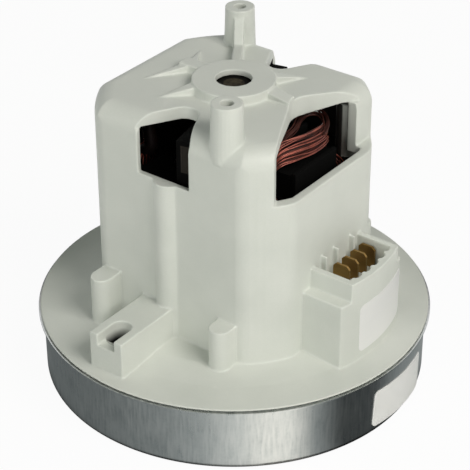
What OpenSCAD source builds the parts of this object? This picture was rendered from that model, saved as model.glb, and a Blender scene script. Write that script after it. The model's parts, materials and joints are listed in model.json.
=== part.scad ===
// Vacuum cleaner motor unit: a moulded motor housing on a pressed steel fan can.
// Origin at the centre of the can's floor, +Z up along the shaft, +X towards the terminals.

/* [Fan can] */
// Outer radius of the can wall
can_r = 66.3; // [62:0.1:72]
// Sheet thickness of the can
can_sheet = 0.8; // [0.6:0.05:1.2]
// Height of the can from its floor to its top edge
can_h = 24.2; // [23:0.1:34]
// How far the rim lip stands out from the wall
lip_proud = 1.7; // [1:0.1:3]
// Thickness of the rim lip
lip_t = 0.5; // [0.4:0.05:0.8]
// How far the rim lip lies below the can's top edge
lip_drop = 0.5; // [0.3:0.05:1]
// Outer radius of the can's bottom corner
can_corner = 2; // [1.5:0.1:5]
// Radius of the air inlet in the can's floor
inlet_r = 17.5; // [14:0.1:20]
// Height of the turned-in collar round the inlet
inlet_collar = 2.2; // [1:0.1:2.6]

/* [Housing flange] */
// Thickness of the flange disc
flange_t = 2.4; // [2:0.1:4]
// How far the flange edge lies inside the rim lip
flange_inset = 0.6; // [0.2:0.1:1.5]
// Fall of the flange's top from the tower to its bend
flange_fall = 1.2; // [0:0.1:1.4]
// Distance of the bend from the flange's edge
flange_bend = 11.4; // [6:0.1:14]
// Thickness of the flange's edge
flange_rim = 0.6; // [0.4:0.1:1]
// Depth of the locating skirt inside the can
skirt_h = 5.2; // [3:0.1:7]
// Thickness of the locating skirt
skirt_t = 1.6; // [1.2:0.1:2.4]
// Gap between the skirt and the can wall
skirt_gap = 0.2; // [0.1:0.05:0.5]

/* [Tower] */
// Radius of the tower's round corners about the shaft
tower_r = 45.4; // [43:0.1:48]
// Distance of the two side flats from the shaft, along X
flat_x = 40; // [39:0.1:43]
// Distance of the two end flats from the shaft, along Y
flat_y = 35; // [34:0.1:39]
// Blend radius between a flat and a round corner
corner_blend = 8; // [4:0.1:10]
// Wall thickness at the round corners
wall_r = 3.9; // [2:0.1:4.4]
// Wall thickness at the side flats
wall_x = 3.1; // [2.4:0.1:3.6]
// Wall thickness at the end flats
wall_y = 2; // [1.6:0.1:3]
// Roof thickness
roof_t = 4.5; // [3:0.1:5]
// Outer radius of the roof's shoulder
shoulder_r = 7; // [5:0.1:8]

/* [Windows] */
// Height of the side windows' sills below the roof
side_win_h = 19.5; // [16:0.1:22]
// How far the side walls step in above the sills
side_step = 5.6; // [4:0.1:6]
// Wall thickness above the side sills
side_upper_wall = 3.8; // [2:0.1:4]
// Side window opening, from the shaft's plane to its right jamb
side_win_right = 20.8; // [20:0.1:21.5]
// Depth of the lip under the roof at the side arch's tip
arch_lip_h = 2.5; // [1:0.1:3]
// Thickness of the lip round the side arch
arch_lip_t = 2.2; // [1.5:0.1:3]
// Radius of the side arch's tip
arch_tip_r = 8.7; // [6:0.1:10]
// Place of the side arch's tip centre along X
arch_tip_x = 29.5; // [27:0.1:32]
// Place of the side arch's tip centre along Y
arch_tip_y = 4.5; // [0:0.1:6]
// Angle of the side arch's near leg from the wall
arch_near_deg = 27; // [20:1:35]
// Angle of the side arch's far leg from the wall
arch_far_deg = 39; // [30:1:45]
// Half width of the plain back window
back_win_half = 15; // [12:0.1:16]
// Height of the plain back window
back_win_h = 12.5; // [9:0.1:13]
// Height of the end windows' sills below the roof
end_win_h = 20; // [16:0.1:22]
// Front window opening, from its left jamb to the shaft's plane
end_win_left = 12.2; // [10:0.1:13]
// Front window opening, from the shaft's plane to its right jamb
end_win_right = 8.4; // [7:0.1:10]
// Radius of the end arches' tips
end_tip_r = 5; // [4:0.1:7]
// Distance of the end arches' tip centres from the shaft
end_tip_out = 24.5; // [23:0.1:27]
// Sideways place of the front arch's tip centre
end_tip_side = -1.5; // [-3:0.1:0]
// Angle of the end arches' left leg from the wall
end_left_deg = 60; // [50:1:70]
// Angle of the end arches' right leg from the wall
end_right_deg = 65; // [50:1:70]

/* [Roof details] */
// Height of the bearing boss above the roof
boss_h = 3.4; // [2:0.1:5]
// Radius of the bearing boss
boss_r = 13.8; // [13:0.1:15]
// Radius of the shaft hole in the boss
boss_hole_r = 6; // [4.5:0.1:7]
// Thickness of the boss's top over the bearing
boss_lip = 2.2; // [1.5:0.1:3]
// Height of the screw posts above the roof
post_h = 12.7; // [9:0.1:16]
// Radius of the screw posts at their top
post_r = 5; // [4:0.1:5.5]
// Extra radius of the screw posts at their foot
post_draft = 0.6; // [0:0.1:1]
// Distance of the posts from the shaft
post_pcr = 35.7; // [33:0.1:37]
// Angle of the front post from +X
post_deg = -56.4; // [-60:0.1:-52]
// Radius of the screw holes in the posts
post_hole_r = 2.1; // [1.5:0.05:2.6]
// Depth of the screw holes in the posts
post_hole_d = 11; // [6:0.1:12]
// How far the posts' fins stop below their tops
post_fin_drop = 2.2; // [1:0.1:4]
// Width of the ribs between boss and posts
post_rib_w = 3.3; // [2:0.1:4]
// Height of the roof ribs
rib_h = 3; // [1.5:0.1:3.2]
// Width of the arms on either side of the boss
arm_w = 5; // [3:0.1:7]
// Reach of the arms from the shaft
arm_reach = 22.5; // [20:0.1:24]
// Length of the tapered wings
wing_l = 16.5; // [12:0.1:18]
// Width of the tapered wings at their root
wing_w = 3.6; // [2:0.1:5]
// Direction of the back wing from +X
wing_back_deg = 117; // [110:1:125]
// Direction of the front wing from +X
wing_front_deg = 239; // [230:1:245]
// Extra length of the front wing
wing_extra = 2.6; // [0:0.1:4]
// Length of the thorn ribs beside the boss
thorn_l = 14; // [8:0.1:16]
// Width of the thorn ribs at their root
thorn_w = 4.6; // [3:0.1:6]
// Direction of the back thorn rib from +X
thorn_deg = 53; // [45:1:60]

/* [Flange details] */
// Width of the clip block
clip_w = 13.5; // [11:0.1:16]
// Sideways place of the clip block
clip_x = -4.95; // [-7:0.05:-3]
// Reach of the clip block from the shaft
clip_reach = 62.5; // [58:0.1:64]
// Height of the clip block above the flange
clip_h = 11.6; // [9:0.1:16]
// Width of the clip slot
clip_slot_w = 6.9; // [5:0.1:8]
// Length of the clip slot
clip_slot_l = 11.5; // [9:0.1:16]
// Depth of the clip slot
clip_slot_d = 4.2; // [3:0.1:6]
// Length of the opening at the slot's inner end
clip_pocket_l = 7.4; // [4:0.1:8]
// Radius of the cable column on the end flats
column_r = 5; // [3:0.1:6]
// How far the cable column stands out
column_proud = 2.6; // [1:0.1:4]
// Sideways place of the cable column
column_x = -1.5; // [-3:0.1:0]
// Place of the short screw pegs along X
peg_x = 23.4; // [20:0.1:26]
// Place of the short screw pegs along Y
peg_y = 38.8; // [37:0.1:41]
// Place of the tall screw pegs along X
tall_peg_x = 24.9; // [20:0.1:26]
// Place of the tall screw pegs along Y
tall_peg_y = 40.8; // [37:0.1:42]
// Screw peg size
peg_w = 7.4; // [6.4:0.1:9]
// Height of the short pegs above the flange
peg_h = 14.4; // [10:0.1:18]
// Solid height of the pegs above the screws
peg_cap = 4; // [3:0.1:5]
// Height of the tall pegs above the flange
tall_peg_h = 16.6; // [12:0.1:20]

/* [Terminal block] */
// Radius of the block's curved outer face
term_r = 57.5; // [55:0.1:60]
// Block foot, from its left side to the shaft's plane
term_foot_left = 16.5; // [15:0.1:20]
// Block foot, from the shaft's plane to its right side
term_foot_right = 21; // [20:0.1:24]
// Height of the block's foot above the flange
term_foot_h = 22.6; // [20:0.1:26]
// Socket box, from its left side to the shaft's plane
term_left = 12.2; // [12:0.1:14]
// Socket box, from the shaft's plane to its right side
term_right = 17.2; // [16.6:0.1:19]
// Height of the socket's rim above the flange
term_h = 29.4; // [28:0.1:32]
// Wall thickness of the socket
term_wall = 2.3; // [1.6:0.1:2.4]
// Depth of the socket
socket_d = 9.5; // [7:0.1:11]
// Thickness of the socket's floor
socket_floor = 3; // [2:0.1:4]
// Spacing of the tabs
tab_pitch = 5; // [4.6:0.1:5.2]
// Place of the first tab
tab_y0 = -1.2; // [-2:0.1:-1]
// Width of a tab as a share of the block's depth
tab_share = 0.36; // [0.3:0.01:0.4]
// Thickness of a tab
tab_t = 0.8; // [0.5:0.05:1]
// How far the tabs stop below the socket's rim
tab_below = 2; // [1:0.1:4]
// How far the tabs reach below the socket's floor
tab_tail = 4; // [2:0.1:6]
// Radius of the coding bumps
bump_r = 1; // [0.6:0.05:1.1]
// Width of the coding fins
fin_w = 0.8; // [0.6:0.05:1.2]
// Depth of the coding fins
fin_d = 2; // [1:0.1:2.4]
// How far the coding fins rise above the socket's rim
fin_rise = 2; // [0:0.1:3]

/* [Labels] */
// Thickness of the labels
label_t = 0.15; // [0.1:0.01:0.3]
// Width of the label on the terminal block
block_label_w = 28.5; // [20:0.1:30]
// Height of the label on the terminal block
block_label_h = 18; // [12:0.1:19]
// Width of the label on the can
can_label_w = 32; // [20:0.1:40]
// Height of the label on the can
can_label_h = 14; // [10:0.1:15]
// Distance of the block's label from the block's right side
block_label_in = 0.6; // [0.3:0.1:2]
// Distance of the block's label from the flange
block_label_up = 1.4; // [1:0.1:3]
// Direction of the can's label from +X
can_label_deg = 4.4; // [0:0.1:10]
// Height of the can's label above the can's floor
can_label_z = 1.9; // [1:0.1:5]
// How far the can's label is turned askew
can_label_tilt = -3.5; // [-6:0.1:6]
// Corner radius of the labels
label_corner = 2; // [1:0.1:4]

/* [Stator] */
// Height of the lamination stack
stack_h = 32; // [28:0.1:40]
// Room between the flange and the stack
lower_room = 17.4; // [17:0.1:22]
// Gap between the stack and the tower's wall
stack_gap = 0.3; // [0.2:0.05:0.6]
// Air gap between armature and poles
air_gap = 0.7; // [0.5:0.05:1.2]
// Thickness of the pole shoes
shoe_t = 2.6; // [2:0.1:3]
// Half width of a pole's neck
neck_half = 11.5; // [9:0.1:12]
// Thickness of the end insulators
insul_t = 2; // [1.5:0.1:3]
// Thickness of the insulators' cheeks
cheek_t = 1.4; // [1:0.1:2]
// Rise of the upper insulator's inner cheeks above the saddles
inner_cheek_h = 6; // [3:0.1:7]
// Rise of the upper insulator's outer cheeks above the saddles
outer_cheek_h = 1; // [0.5:0.1:3]
// Depth of the lower insulator's cheeks
lower_cheek_h = 6; // [4:0.1:8]
// Place of the stator screws along X
stator_screw_x = 27.5; // [26:0.1:28]
// Place of the stator screws along Y
stator_screw_y = 26.5; // [26:0.1:27]
// Radius of the stator screws
stator_screw_r = 2; // [1.5:0.1:2.2]
// How far the stator screws enter their bosses
stator_screw_in = 10; // [7:0.1:10]
// Radius of the corner bosses that the stator screws enter
corner_boss_r = 4.2; // [3.6:0.1:4.4]

/* [Field coils] */
// Depth of a coil along the pole
coil_t = 9; // [7:0.1:9.4]
// Width of a coil's legs
coil_leg = 8; // [6:0.1:8.4]
// Gap between a coil and its slot
coil_gap = 1; // [0.5:0.05:1.4]
// Room between the coils' upper end turns and the roof
coil_roof_gap = 3.6; // [3:0.1:6]
// Room between the coils' lower end turns and the flange
coil_floor_gap = 2.6; // [2:0.1:5]
// Rise of the upper end turns' saddle above the insulator
saddle_h = 9; // [6:0.1:10]
// Outer corner radius of a coil
coil_corner = 10; // [8:0.1:11]
// Corner radius inside the coils' bundles
coil_corner_in = 1.5; // [0.5:0.1:2]
// Diameter of the outer layer's wire
wire_d = 0.7; // [0.5:0.05:0.75]
// Gap between the outer layer and the coil's core
wire_gap = 0.3; // [0.2:0.05:0.5]
// Turns round the coil's edge
edge_turns = 5; // [3:1:5]
// Turns on the coil's open face
face_turns = 4; // [2:1:4]

/* [Armature] */
// Radius of the armature
arm_r = 18.5; // [17:0.1:19]
// Radius of the shaft at the armature and the fan
shaft_r = 4; // [3.5:0.1:4.2]
// Running and seating clearance on the shaft
shaft_fit = 0.02; // [0.01:0.01:0.05]
// Number of armature slots
slots = 12; // [8:1:14]
// Radius of the armature slots
slot_r = 2.6; // [2:0.1:2.8]
// Width of the slot mouths
slot_mouth = 2; // [1:0.1:2.5]
// Liner thickness between slot and winding
slot_liner = 0.4; // [0.3:0.05:0.6]
// Height of the winding heads
head_h = 9.3; // [7:0.1:10]
// Gap between core and winding heads
head_gap = 0.3; // [0.2:0.05:0.6]
// Depth of the teeth's tips outside the slots
tooth_tip = 2.4; // [2:0.1:3]
// How far the winding heads lie inside the armature's edge
head_inset = 1.4; // [1:0.1:2]
// Gap between the winding heads and the shaft
head_bore_gap = 1.5; // [1:0.1:2]
// Length of the commutator
comm_h = 11.4; // [10.8:0.1:14]
// Gap between winding head and commutator
comm_gap = 0.4; // [0.3:0.1:2]
// Radius of the commutator's track
comm_r = 11.2; // [10:0.1:12]
// Height of the commutator's riser
riser_h = 2; // [1:0.1:2.4]
// How far the riser stands out from the track
riser_proud = 1.4; // [0.5:0.1:1.6]
// Radial depth of the commutator bars
bar_depth = 2.9; // [2:0.1:3.5]
// Number of commutator bars
bars = 24; // [16:2:28]
// Width of the slots between bars
bar_slot = 0.5; // [0.4:0.05:0.7]

/* [Brush gear] */
// Turn of the brush axis from the middle between the poles
brush_swing = 12; // [8:0.5:14]
// Width of a brush across the commutator
brush_w = 6.3; // [5:0.1:6.6]
// Height of a brush along the shaft
brush_h = 8; // [6:0.1:8.4]
// Length of a brush
brush_l = 10; // [8:0.1:11]
// Gap between a resting brush and the commutator
brush_gap = 0.1; // [0.05:0.05:0.3]
// Sliding clearance of a brush in its tube
brush_fit = 0.1; // [0.05:0.01:0.2]
// Wall thickness of a brush tube
tube_t = 0.7; // [0.5:0.05:1]
// Wall thickness of a brush holder
holder_t = 1.5; // [1:0.1:1.6]
// Gap between the commutator's riser and the brush tube
tube_gap = 0.4; // [0.3:0.1:1]
// Length of a brush spring at rest
spring_l = 9; // [8:0.1:10]
// Outer radius of a brush spring
spring_r = 2.5; // [2:0.1:2.8]
// Wire diameter of a brush spring
spring_wire = 0.6; // [0.4:0.05:0.7]
// Turns of a brush spring
spring_turns = 6; // [4:1:7]
// Gap at each end of a brush spring
spring_gap = 0.1; // [0.05:0.05:0.3]
// Thickness of the brush caps
cap_t = 0.8; // [0.5:0.1:1.2]

/* [Bearings] */
// Inner radius of the top bearing
top_ri = 3.5; // [3:0.1:3.8]
// Outer radius of the top bearing
top_ro = 9.5; // [9:0.1:10.5]
// Width of the top bearing
top_w = 6; // [5.5:0.1:7]
// Outer radius of the fan bearing
low_ro = 11; // [10:0.1:12]
// Width of the fan bearing
low_w = 7; // [6:0.1:8]
// Rise of the fan bearing's top above the flange
low_rise = 1.4; // [0.5:0.1:2]
// Number of balls in each bearing
balls = 7; // [6:1:7]
// Gap between balls and races
ball_gap = 0.06; // [0.02:0.01:0.1]
// Thickness of the bearing shields
shield_t = 0.4; // [0.3:0.05:0.5]
// Thickness of the rubber cushion round the top bearing
cushion_t = 1.5; // [1:0.1:2]
// Wall of the bearing hub under the roof
hub_wall = 3; // [2:0.1:4]
// Gap between commutator and top bearing
bearing_gap = 2.3; // [2:0.1:4]
// Thickness of the top bearing's retainer
retainer_t = 0.7; // [0.4:0.1:0.9]

/* [Fan] */
// Room between the can's floor and the fan's front disc
fan_floor_gap = 3; // [2.6:0.1:4]
// Thickness of the fan discs
disc_t = 0.8; // [0.6:0.05:1.2]
// Height of the fan vanes
vane_h = 6.6; // [5:0.1:8]
// Thickness of the fan vanes
vane_t = 0.8; // [0.6:0.05:1.2]
// Number of fan vanes
vanes = 8; // [6:1:11]
// Curve radius of the fan vanes
vane_curve = 34; // [30:0.5:45]
// Place of the vanes' curve centre along the fan's radius
vane_hub_x = 34; // [32:0.1:36]
// Place of the vanes' curve centre beside the fan's radius
vane_hub_y = 18.7; // [17:0.1:20]
// Side of the vanes' inner ends beside the shaft
vane_start_x = 4.3; // [3:0.1:6]
// Gap between the vanes' outer ends and the fan's edge
vane_edge_gap = 0.5; // [0.3:0.1:1]
// Inner end of the fan vanes from the shaft
vane_in = 21.5; // [21:0.1:24]
// Gap between the inlet collar and the fan's eye
eye_gap = 0.9; // [0.5:0.1:1.5]
// Depth of the collar round the fan's eye
eye_h = 1.4; // [1:0.1:2]
// Width across the flats of the fan nut
nut_af = 13; // [11:0.1:14]
// Height of the fan nut
nut_h = 4.6; // [4:0.1:5]
// Radius of the fan washer
washer_r = 9; // [8:0.1:12]
// Thickness of the fan washer
washer_t = 1; // [0.6:0.1:1.2]
// Radius of the fan spacer
spacer_r = 6; // [5:0.1:6.4]
// Length of shaft showing below the nut
shaft_tail = 1.8; // [0.5:0.1:2]

/* [Diffuser and bracket] */
// Gap between the fan and the diffuser plate
diffuser_gap = 1.6; // [1:0.1:2.5]
// Thickness of the diffuser plate
diffuser_t = 1.5; // [1:0.1:2]
// Radial gap between diffuser and can for the air to turn
turn_gap = 3; // [2:0.1:4]
// Radial length of the diffuser's outer vanes
diffuser_vane_l = 5; // [4:0.1:7]
// Gap between the fan's edge and the diffuser's vanes
fan_edge_gap = 2; // [1.5:0.1:3]
// Number of the diffuser's outer vanes
diffuser_vanes = 15; // [9:1:19]
// Number of the diffuser's return vanes
return_vanes = 10; // [6:1:12]
// Radial length of the return vanes
return_vane_l = 11.5; // [8:0.1:12]
// Thickness of the diffuser's vanes
diffuser_vane_t = 1.2; // [0.8:0.1:1.6]
// Lean of the diffuser's outer vanes
diffuser_vane_deg = 20; // [10:1:30]
// Lean of the return vanes
return_vane_deg = -12; // [-30:1:-5]
// Gap between the vanes' outer ends and the plate's edge
vane_end_gap = 1; // [0.6:0.1:2]
// Gap between the outer vanes' feet and the can's floor
vane_foot_gap = 1; // [0.5:0.1:2]
// Gap between the plate's hole and the fan spacer
spacer_room = 4; // [3:0.1:6]
// Thickness of the bracket plate
bracket_t = 2; // [1.5:0.1:2.5]
// Width of the bracket's arms
bracket_arm_w = 9; // [7:0.1:11]
// Wall of the bracket's bearing cup
cup_t = 2; // [1.5:0.1:3]
// Thickness of the cup's lip under the bearing
cup_lip = 1; // [0.6:0.1:1.5]
// Width of the plate's ring round the cup
cup_foot = 3; // [2:0.1:4]
// Radius of the bracket screws
bracket_screw_r = 1.5; // [1.2:0.1:2]
// Height of the screw heads
screw_head_h = 2.2; // [1.5:0.1:2.6]
// Clearance round the screws
screw_gap = 0.15; // [0.1:0.05:0.4]

/* [Leads] */
// Diameter of the sleeved leads
lead_d = 1.8; // [1.4:0.1:2.2]

/* [Hidden] */
$fn = 64;
eps = 0.01;
tuck = 0.02;
lap = 1;
snug = 0.05;
seal_gap = 0.3;
through = 200;

// Heights along the shaft, from the can's floor up
flange_top = can_h + flange_t;
stack_z0 = flange_top + lower_room;
stack_z1 = stack_z0 + stack_h;
head_top = stack_z1 + head_gap + head_h;
comm_z0 = head_top + comm_gap;
comm_z1 = comm_z0 + comm_h;
top_z0 = comm_z1 + bearing_gap;
top_z1 = top_z0 + top_w;
boss_top = top_z1 + boss_lip;
roof_z = boss_top - boss_h;
roof_under = roof_z - roof_t;
post_top = roof_z + post_h;
side_sill = roof_z - side_win_h;
end_sill = roof_z - end_win_h;
brush_z = comm_z0 + riser_h + (comm_h - riser_h) / 2;
low_z1 = flange_top + low_rise;
low_z0 = low_z1 - low_w;
bracket_z0 = can_h - bracket_t;
bracket_screw_in = flange_t + peg_h - peg_cap;
peg_at = [[peg_x, -peg_y], [-peg_x, peg_y], [-tall_peg_x, -tall_peg_y], [tall_peg_x, tall_peg_y]];
arm_set = 0.1 * arm_w;
rib_step = 0.2;
hub_skirt = 0.8;
hub_z0 = top_z0 - retainer_t - hub_skirt;

// Fan heights and radii
can_in = can_r - can_sheet;
front_z = can_sheet + fan_floor_gap;
vane_z0 = front_z + disc_t;
back_z = vane_z0 + vane_h;
spacer_z0 = back_z + disc_t;
diffuser_z0 = spacer_z0 + diffuser_gap;
diffuser_z1 = diffuser_z0 + diffuser_t;
diffuser_r = can_in - turn_gap;
fan_r = diffuser_r - diffuser_vane_l - fan_edge_gap;
eye_r = inlet_r + can_sheet + eye_gap;
nut_z1 = back_z - washer_t;
nut_z0 = nut_z1 - nut_h;
shaft_z0 = nut_z0 - shaft_tail;
shaft_proud = 0.3;
shaft_z1 = top_z1 + shaft_proud;

// Tower insides
in_r = tower_r - wall_r;
in_x = flat_x - wall_x;
in_y = flat_y - wall_y;
upper_x = flat_x - side_step;
upper_in_x = upper_x - side_upper_wall;
shelf_t = 3;
arch_lip_z = roof_under - arch_lip_h;

// Bearing hub
cushion_r = top_ro + cushion_t;
hub_r = cushion_r + hub_wall;

// Stator and coils
bore_r = arm_r + air_gap;
slot_at = arm_r - slot_r - tooth_tip;
shoe_r = bore_r + shoe_t;
stack_r = in_r - stack_gap;
stack_x = in_x - stack_gap;
stack_y = in_y - stack_gap;
seat_gap = 0.2;
pole_gap = 0.5;
leg_room = 0.8;
cheek_gap = 0.6;
coil_x0 = shoe_r + seat_gap;
coil_x1 = coil_x0 + coil_t;
pocket_x1 = coil_x1 + pole_gap;
coil_y0 = neck_half + coil_gap;
coil_y1 = coil_y0 + coil_leg;
pocket_y1 = coil_y1 + coil_gap;
coil_z1 = roof_under - coil_roof_gap;
coil_z0 = flange_top + coil_floor_gap;
coil_zi1 = stack_z1 + insul_t + saddle_h + pole_gap;
coil_zi0 = stack_z0 - insul_t - pole_gap;
coil_mid = (coil_z0 + coil_z1) / 2;
coil_half_z = (coil_z1 - coil_z0) / 2;
coil_mid_i = (coil_zi0 + coil_zi1) / 2;
coil_half_zi = (coil_zi1 - coil_zi0) / 2;
layer = wire_d + wire_gap + seat_gap;
wire_r = wire_d / 2;

stator_screw_l = stack_h + 2 * insul_t + stator_screw_in;
stator_head = 1.45;

// Brush gear along the brush axis
brush_y0 = comm_r + brush_gap;
brush_y1 = brush_y0 + brush_l;
spring_y0 = brush_y1 + spring_gap;
spring_y1 = spring_y0 + spring_l;
cap_y0 = spring_y1 + spring_gap;
cap_y1 = cap_y0 + cap_t;
tube_y0 = comm_r + riser_proud + tube_gap;
tube_half_w = brush_w / 2 + brush_fit + tube_t;
tube_half_h = brush_h / 2 + brush_fit + tube_t;
holder_half_w = tube_half_w + holder_t;
holder_half_h = tube_half_h + holder_t;
tube_nose = 1.6;
holder_y0 = tube_y0 + tube_nose;
bore_room = 0.8;
pedestal_y0 = bore_r + bore_room;

// Terminal block heights
foot_z = flange_top + term_foot_h;
rim_z = flange_top + term_h;
floor_z = rim_z - socket_d;
hollow_z1 = floor_z - socket_floor;
term_depth = term_r - flat_x;
tab_w = tab_share * term_depth;
tab_set = 0.27 * tab_w;
tab_bevel = 0.175 * tab_w;
tab_tail_in = 0.24 * tab_w;
tab_neck = 0.4;
hollow_set = 1.6;
hollow_wall = 3.2;
bump_shift = 1.5;
fin_at = [-0.92, 0.42, 2.32];
lead_door_left = 7.3;
lead_door_w = 19.6;
lead_door_sill = 2;
tab_x0 = flat_x + tab_set;
tab_y = [for (i = [0 : 3]) tab_y0 + i * tab_pitch];
lead_x = tab_x0 + lead_d - seat_gap;
lead_z = hollow_z1 - tab_tail - seat_gap - flange_top;

// Colours of the materials
moulding = [0.80, 0.81, 0.77];
steel = [0.62, 0.64, 0.66];
dark_steel = [0.42, 0.43, 0.45];
black_plastic = [0.06, 0.06, 0.065];
copper = [0.55, 0.22, 0.12];
brass = [0.55, 0.38, 0.14];
carbon = [0.12, 0.12, 0.13];
rubber = [0.08, 0.08, 0.08];
alloy = [0.72, 0.73, 0.74];
phenolic = [0.30, 0.16, 0.08];
paper = [0.93, 0.93, 0.92];
lead_red = [0.55, 0.08, 0.06];

// Flat shapes

// Profile for a turned body with a rounded upper edge
module rounded_half(r, h, c) {
    square([r, h - c]);
    square([r - c, h]);
    intersection() {
        translate([r - c, h - c]) circle(c);
        square([r, h]);
    }
}

// Profile of a box with rounded upper edges, standing on its base
module rounded_top(half, h, c) {
    translate([-half, 0]) square([2 * half, h - c]);
    translate([c - half, 0]) square([2 * (half - c), h]);
    for (s = [-1, 1]) translate([s * (half - c), h - c]) circle(c);
}

// Rectangle with round corners, centred
module rounded_rect(w, h, c) {
    square([w - 2 * c, h], center = true);
    square([w, h - 2 * c], center = true);
    for (sx = [-1, 1], sy = [-1, 1]) translate([sx * (w / 2 - c), sy * (h / 2 - c)]) circle(c);
}

// Ring between two radii
module ring_2d(ro, ri) {
    difference() {
        circle(ro);
        circle(ri);
    }
}

// Waste outside the blend between the flat at x = f and the round corner of radius r
module corner_trim(r, f, b) {
    cx = f - b;
    cy = sqrt((r - b) * (r - b) - cx * cx);
    turn = atan2(cy, cx);
    reach = 1.5 * b;
    difference() {
        translate([cx, cy])
            polygon([
                [0, 0],
                [reach, 0],
                [1.2 * reach * cos(turn / 2), 1.2 * reach * sin(turn / 2)],
                [reach * cos(turn), reach * sin(turn)]
            ]);
        translate([cx, cy]) circle(b + tuck);
    }
}

// Plan of the tower: a circle with four flats
module tower_plan(r, fx, fy) {
    intersection() {
        circle(r);
        square([2 * fx, 2 * fy], center = true);
    }
}

// Plan of the tower with its corners blended
module blended_plan(r, fx, fy, b) {
    difference() {
        tower_plan(r, fx, fy);
        for (mx = [0, 1], my = [0, 1])
            mirror([mx, 0, 0]) mirror([0, my, 0]) {
                corner_trim(r, fx, b);
                mirror([1, -1, 0]) corner_trim(r, fy, b);
            }
    }
}

// Plan of an arch that opens along +X: two straight legs from a round tip
module arch_plan(tip, r, near_deg, far_deg) {
    leg = 60;
    near_dir = [sin(near_deg), -cos(near_deg)];
    far_dir = [sin(far_deg), cos(far_deg)];
    near_foot = tip - [cos(near_deg), sin(near_deg)] * (r - tuck);
    far_foot = tip + [-cos(far_deg), sin(far_deg)] * (r - tuck);
    translate(tip) circle(r);
    polygon([near_foot, near_foot + near_dir * leg, far_foot + far_dir * leg, far_foot]);
}

module side_arch(grow) {
    arch_plan([arch_tip_x, arch_tip_y], arch_tip_r + grow, arch_near_deg, arch_far_deg);
}

module end_arch() {
    rotate(-90) arch_plan([end_tip_out, end_tip_side], end_tip_r, end_left_deg, end_right_deg);
}

// Plan of the side window under the roof, from its slanted left jamb to its right jamb
module side_window_plan() {
    intersection() {
        union() {
            side_arch(0);
            translate([arch_tip_x, 0]) square([through, side_win_right]);
        }
        translate([0, side_win_right - through]) square([through, through]);
    }
}

// Swept tubes

function unit(v) = v / norm(v);

function tangent(path, i) =
    let (n = len(path) - 1)
    unit(path[min(i + 1, n)] - path[max(i - 1, 0)]);

// Corner points of one ring of a tube
function ring_points(path, i, r, sides, ref) =
    let (
        t = tangent(path, i),
        a = unit(cross(t, ref)),
        b = cross(t, a)
    )
    [for (k = [0 : sides - 1])
        let (q = 360 * k / sides)
        path[i] + r * (cos(q) * a + sin(q) * b)];

// Tube of radius r along a path of points, in triangles
module tube(path, r, sides, ref) {
    n = len(path);
    points = [for (i = [0 : n - 1]) each ring_points(path, i, r, sides, ref)];
    walls = [for (i = [0 : n - 2], k = [0 : sides - 1])
        let (
            k1 = (k + 1) % sides,
            p = i * sides + k,
            q = i * sides + k1
        )
        each [[p, q, q + sides], [p, q + sides, p + sides]]];
    first = [for (k = [1 : sides - 2]) [0, k + 1, k]];
    last_ring = (n - 1) * sides;
    last = [for (k = [1 : sides - 2]) [last_ring, last_ring + k, last_ring + k + 1]];
    polyhedron(points, [for (f = concat(walls, first, last)) [f[2], f[1], f[0]]]);
}

// Shortest distance from a point to a straight stretch
function stretch_dist(p, a, b) =
    let (
        d = b - a,
        t = max(0, min(1, ((p - a) * d) / (d * d)))
    )
    norm(p - a - d * t);

// Least gap between stretches of one tube that are at least `apart` points from each other
function least_gap(path, d, apart) =
    min([for (i = [0 : len(path) - 1], j = [0 : len(path) - 2])
        if (abs(i - j) >= apart && abs(i - j - 1) >= apart)
            stretch_dist(path[i], path[j], path[j + 1])]) - d;

// Field winding path

rings_per_turn = 24;
edge_half_y = coil_y1 - wire_r;
edge_half_z = coil_half_z - wire_r;
face_half_y = coil_y0 + wire_r + wire_gap;
face_half_z = coil_half_zi + wire_r + wire_gap;
edge_x0 = coil_x0 + wire_r + seat_gap;
face_x = coil_x1 - wire_r;

// Point j of 24 on a rounded rectangle: five on each corner's arc and one on each side
function turn_point(j, hy, hz, c) =
    let (
        k = floor(j / 6),
        i = j - 6 * k,
        q = 90 * k + 22.5 * i,
        sy = (k == 0 || k == 3) ? 1 : -1,
        sz = (k < 2) ? 1 : -1
    )
    i < 5
        ? [sy * (hy - c) + c * cos(q), sz * (hz - c) + c * sin(q)]
        : [[0, hz], [-hy, 0], [0, -hz], [hy, 0]][k];

// Winding: turns laid along the coil's edge, then spiralling in over its open face
function winding_point(n) =
    let (
        t = n / rings_per_turn,
        along = min(1, t / edge_turns),
        inward = max(0, (t - edge_turns) / face_turns),
        hy = edge_half_y + (face_half_y - edge_half_y) * inward,
        hz = edge_half_z + (face_half_z - edge_half_z) * inward,
        zc = coil_mid + (coil_mid_i - coil_mid) * inward,
        c = coil_corner - (edge_half_y - hy),
        p = turn_point(n % rings_per_turn, hy, hz, c)
    )
    [edge_x0 + (face_x - edge_x0) * along, p[0], p[1] + zc];

winding_count = rings_per_turn * (edge_turns + face_turns);
winding_turns = [for (n = [0 : winding_count]) winding_point(n)];
winding_path = concat(
    [winding_turns[0] - wire_d * tangent(winding_turns, 0)],
    winding_turns,
    [winding_turns[winding_count] + wire_d * tangent(winding_turns, winding_count)]
);
winding_gap = least_gap(winding_path, wire_d, 8);
echo("least gap between turns of a field winding, mm", winding_gap);
assert(winding_gap > 0.4, "the field winding's turns touch");

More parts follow.
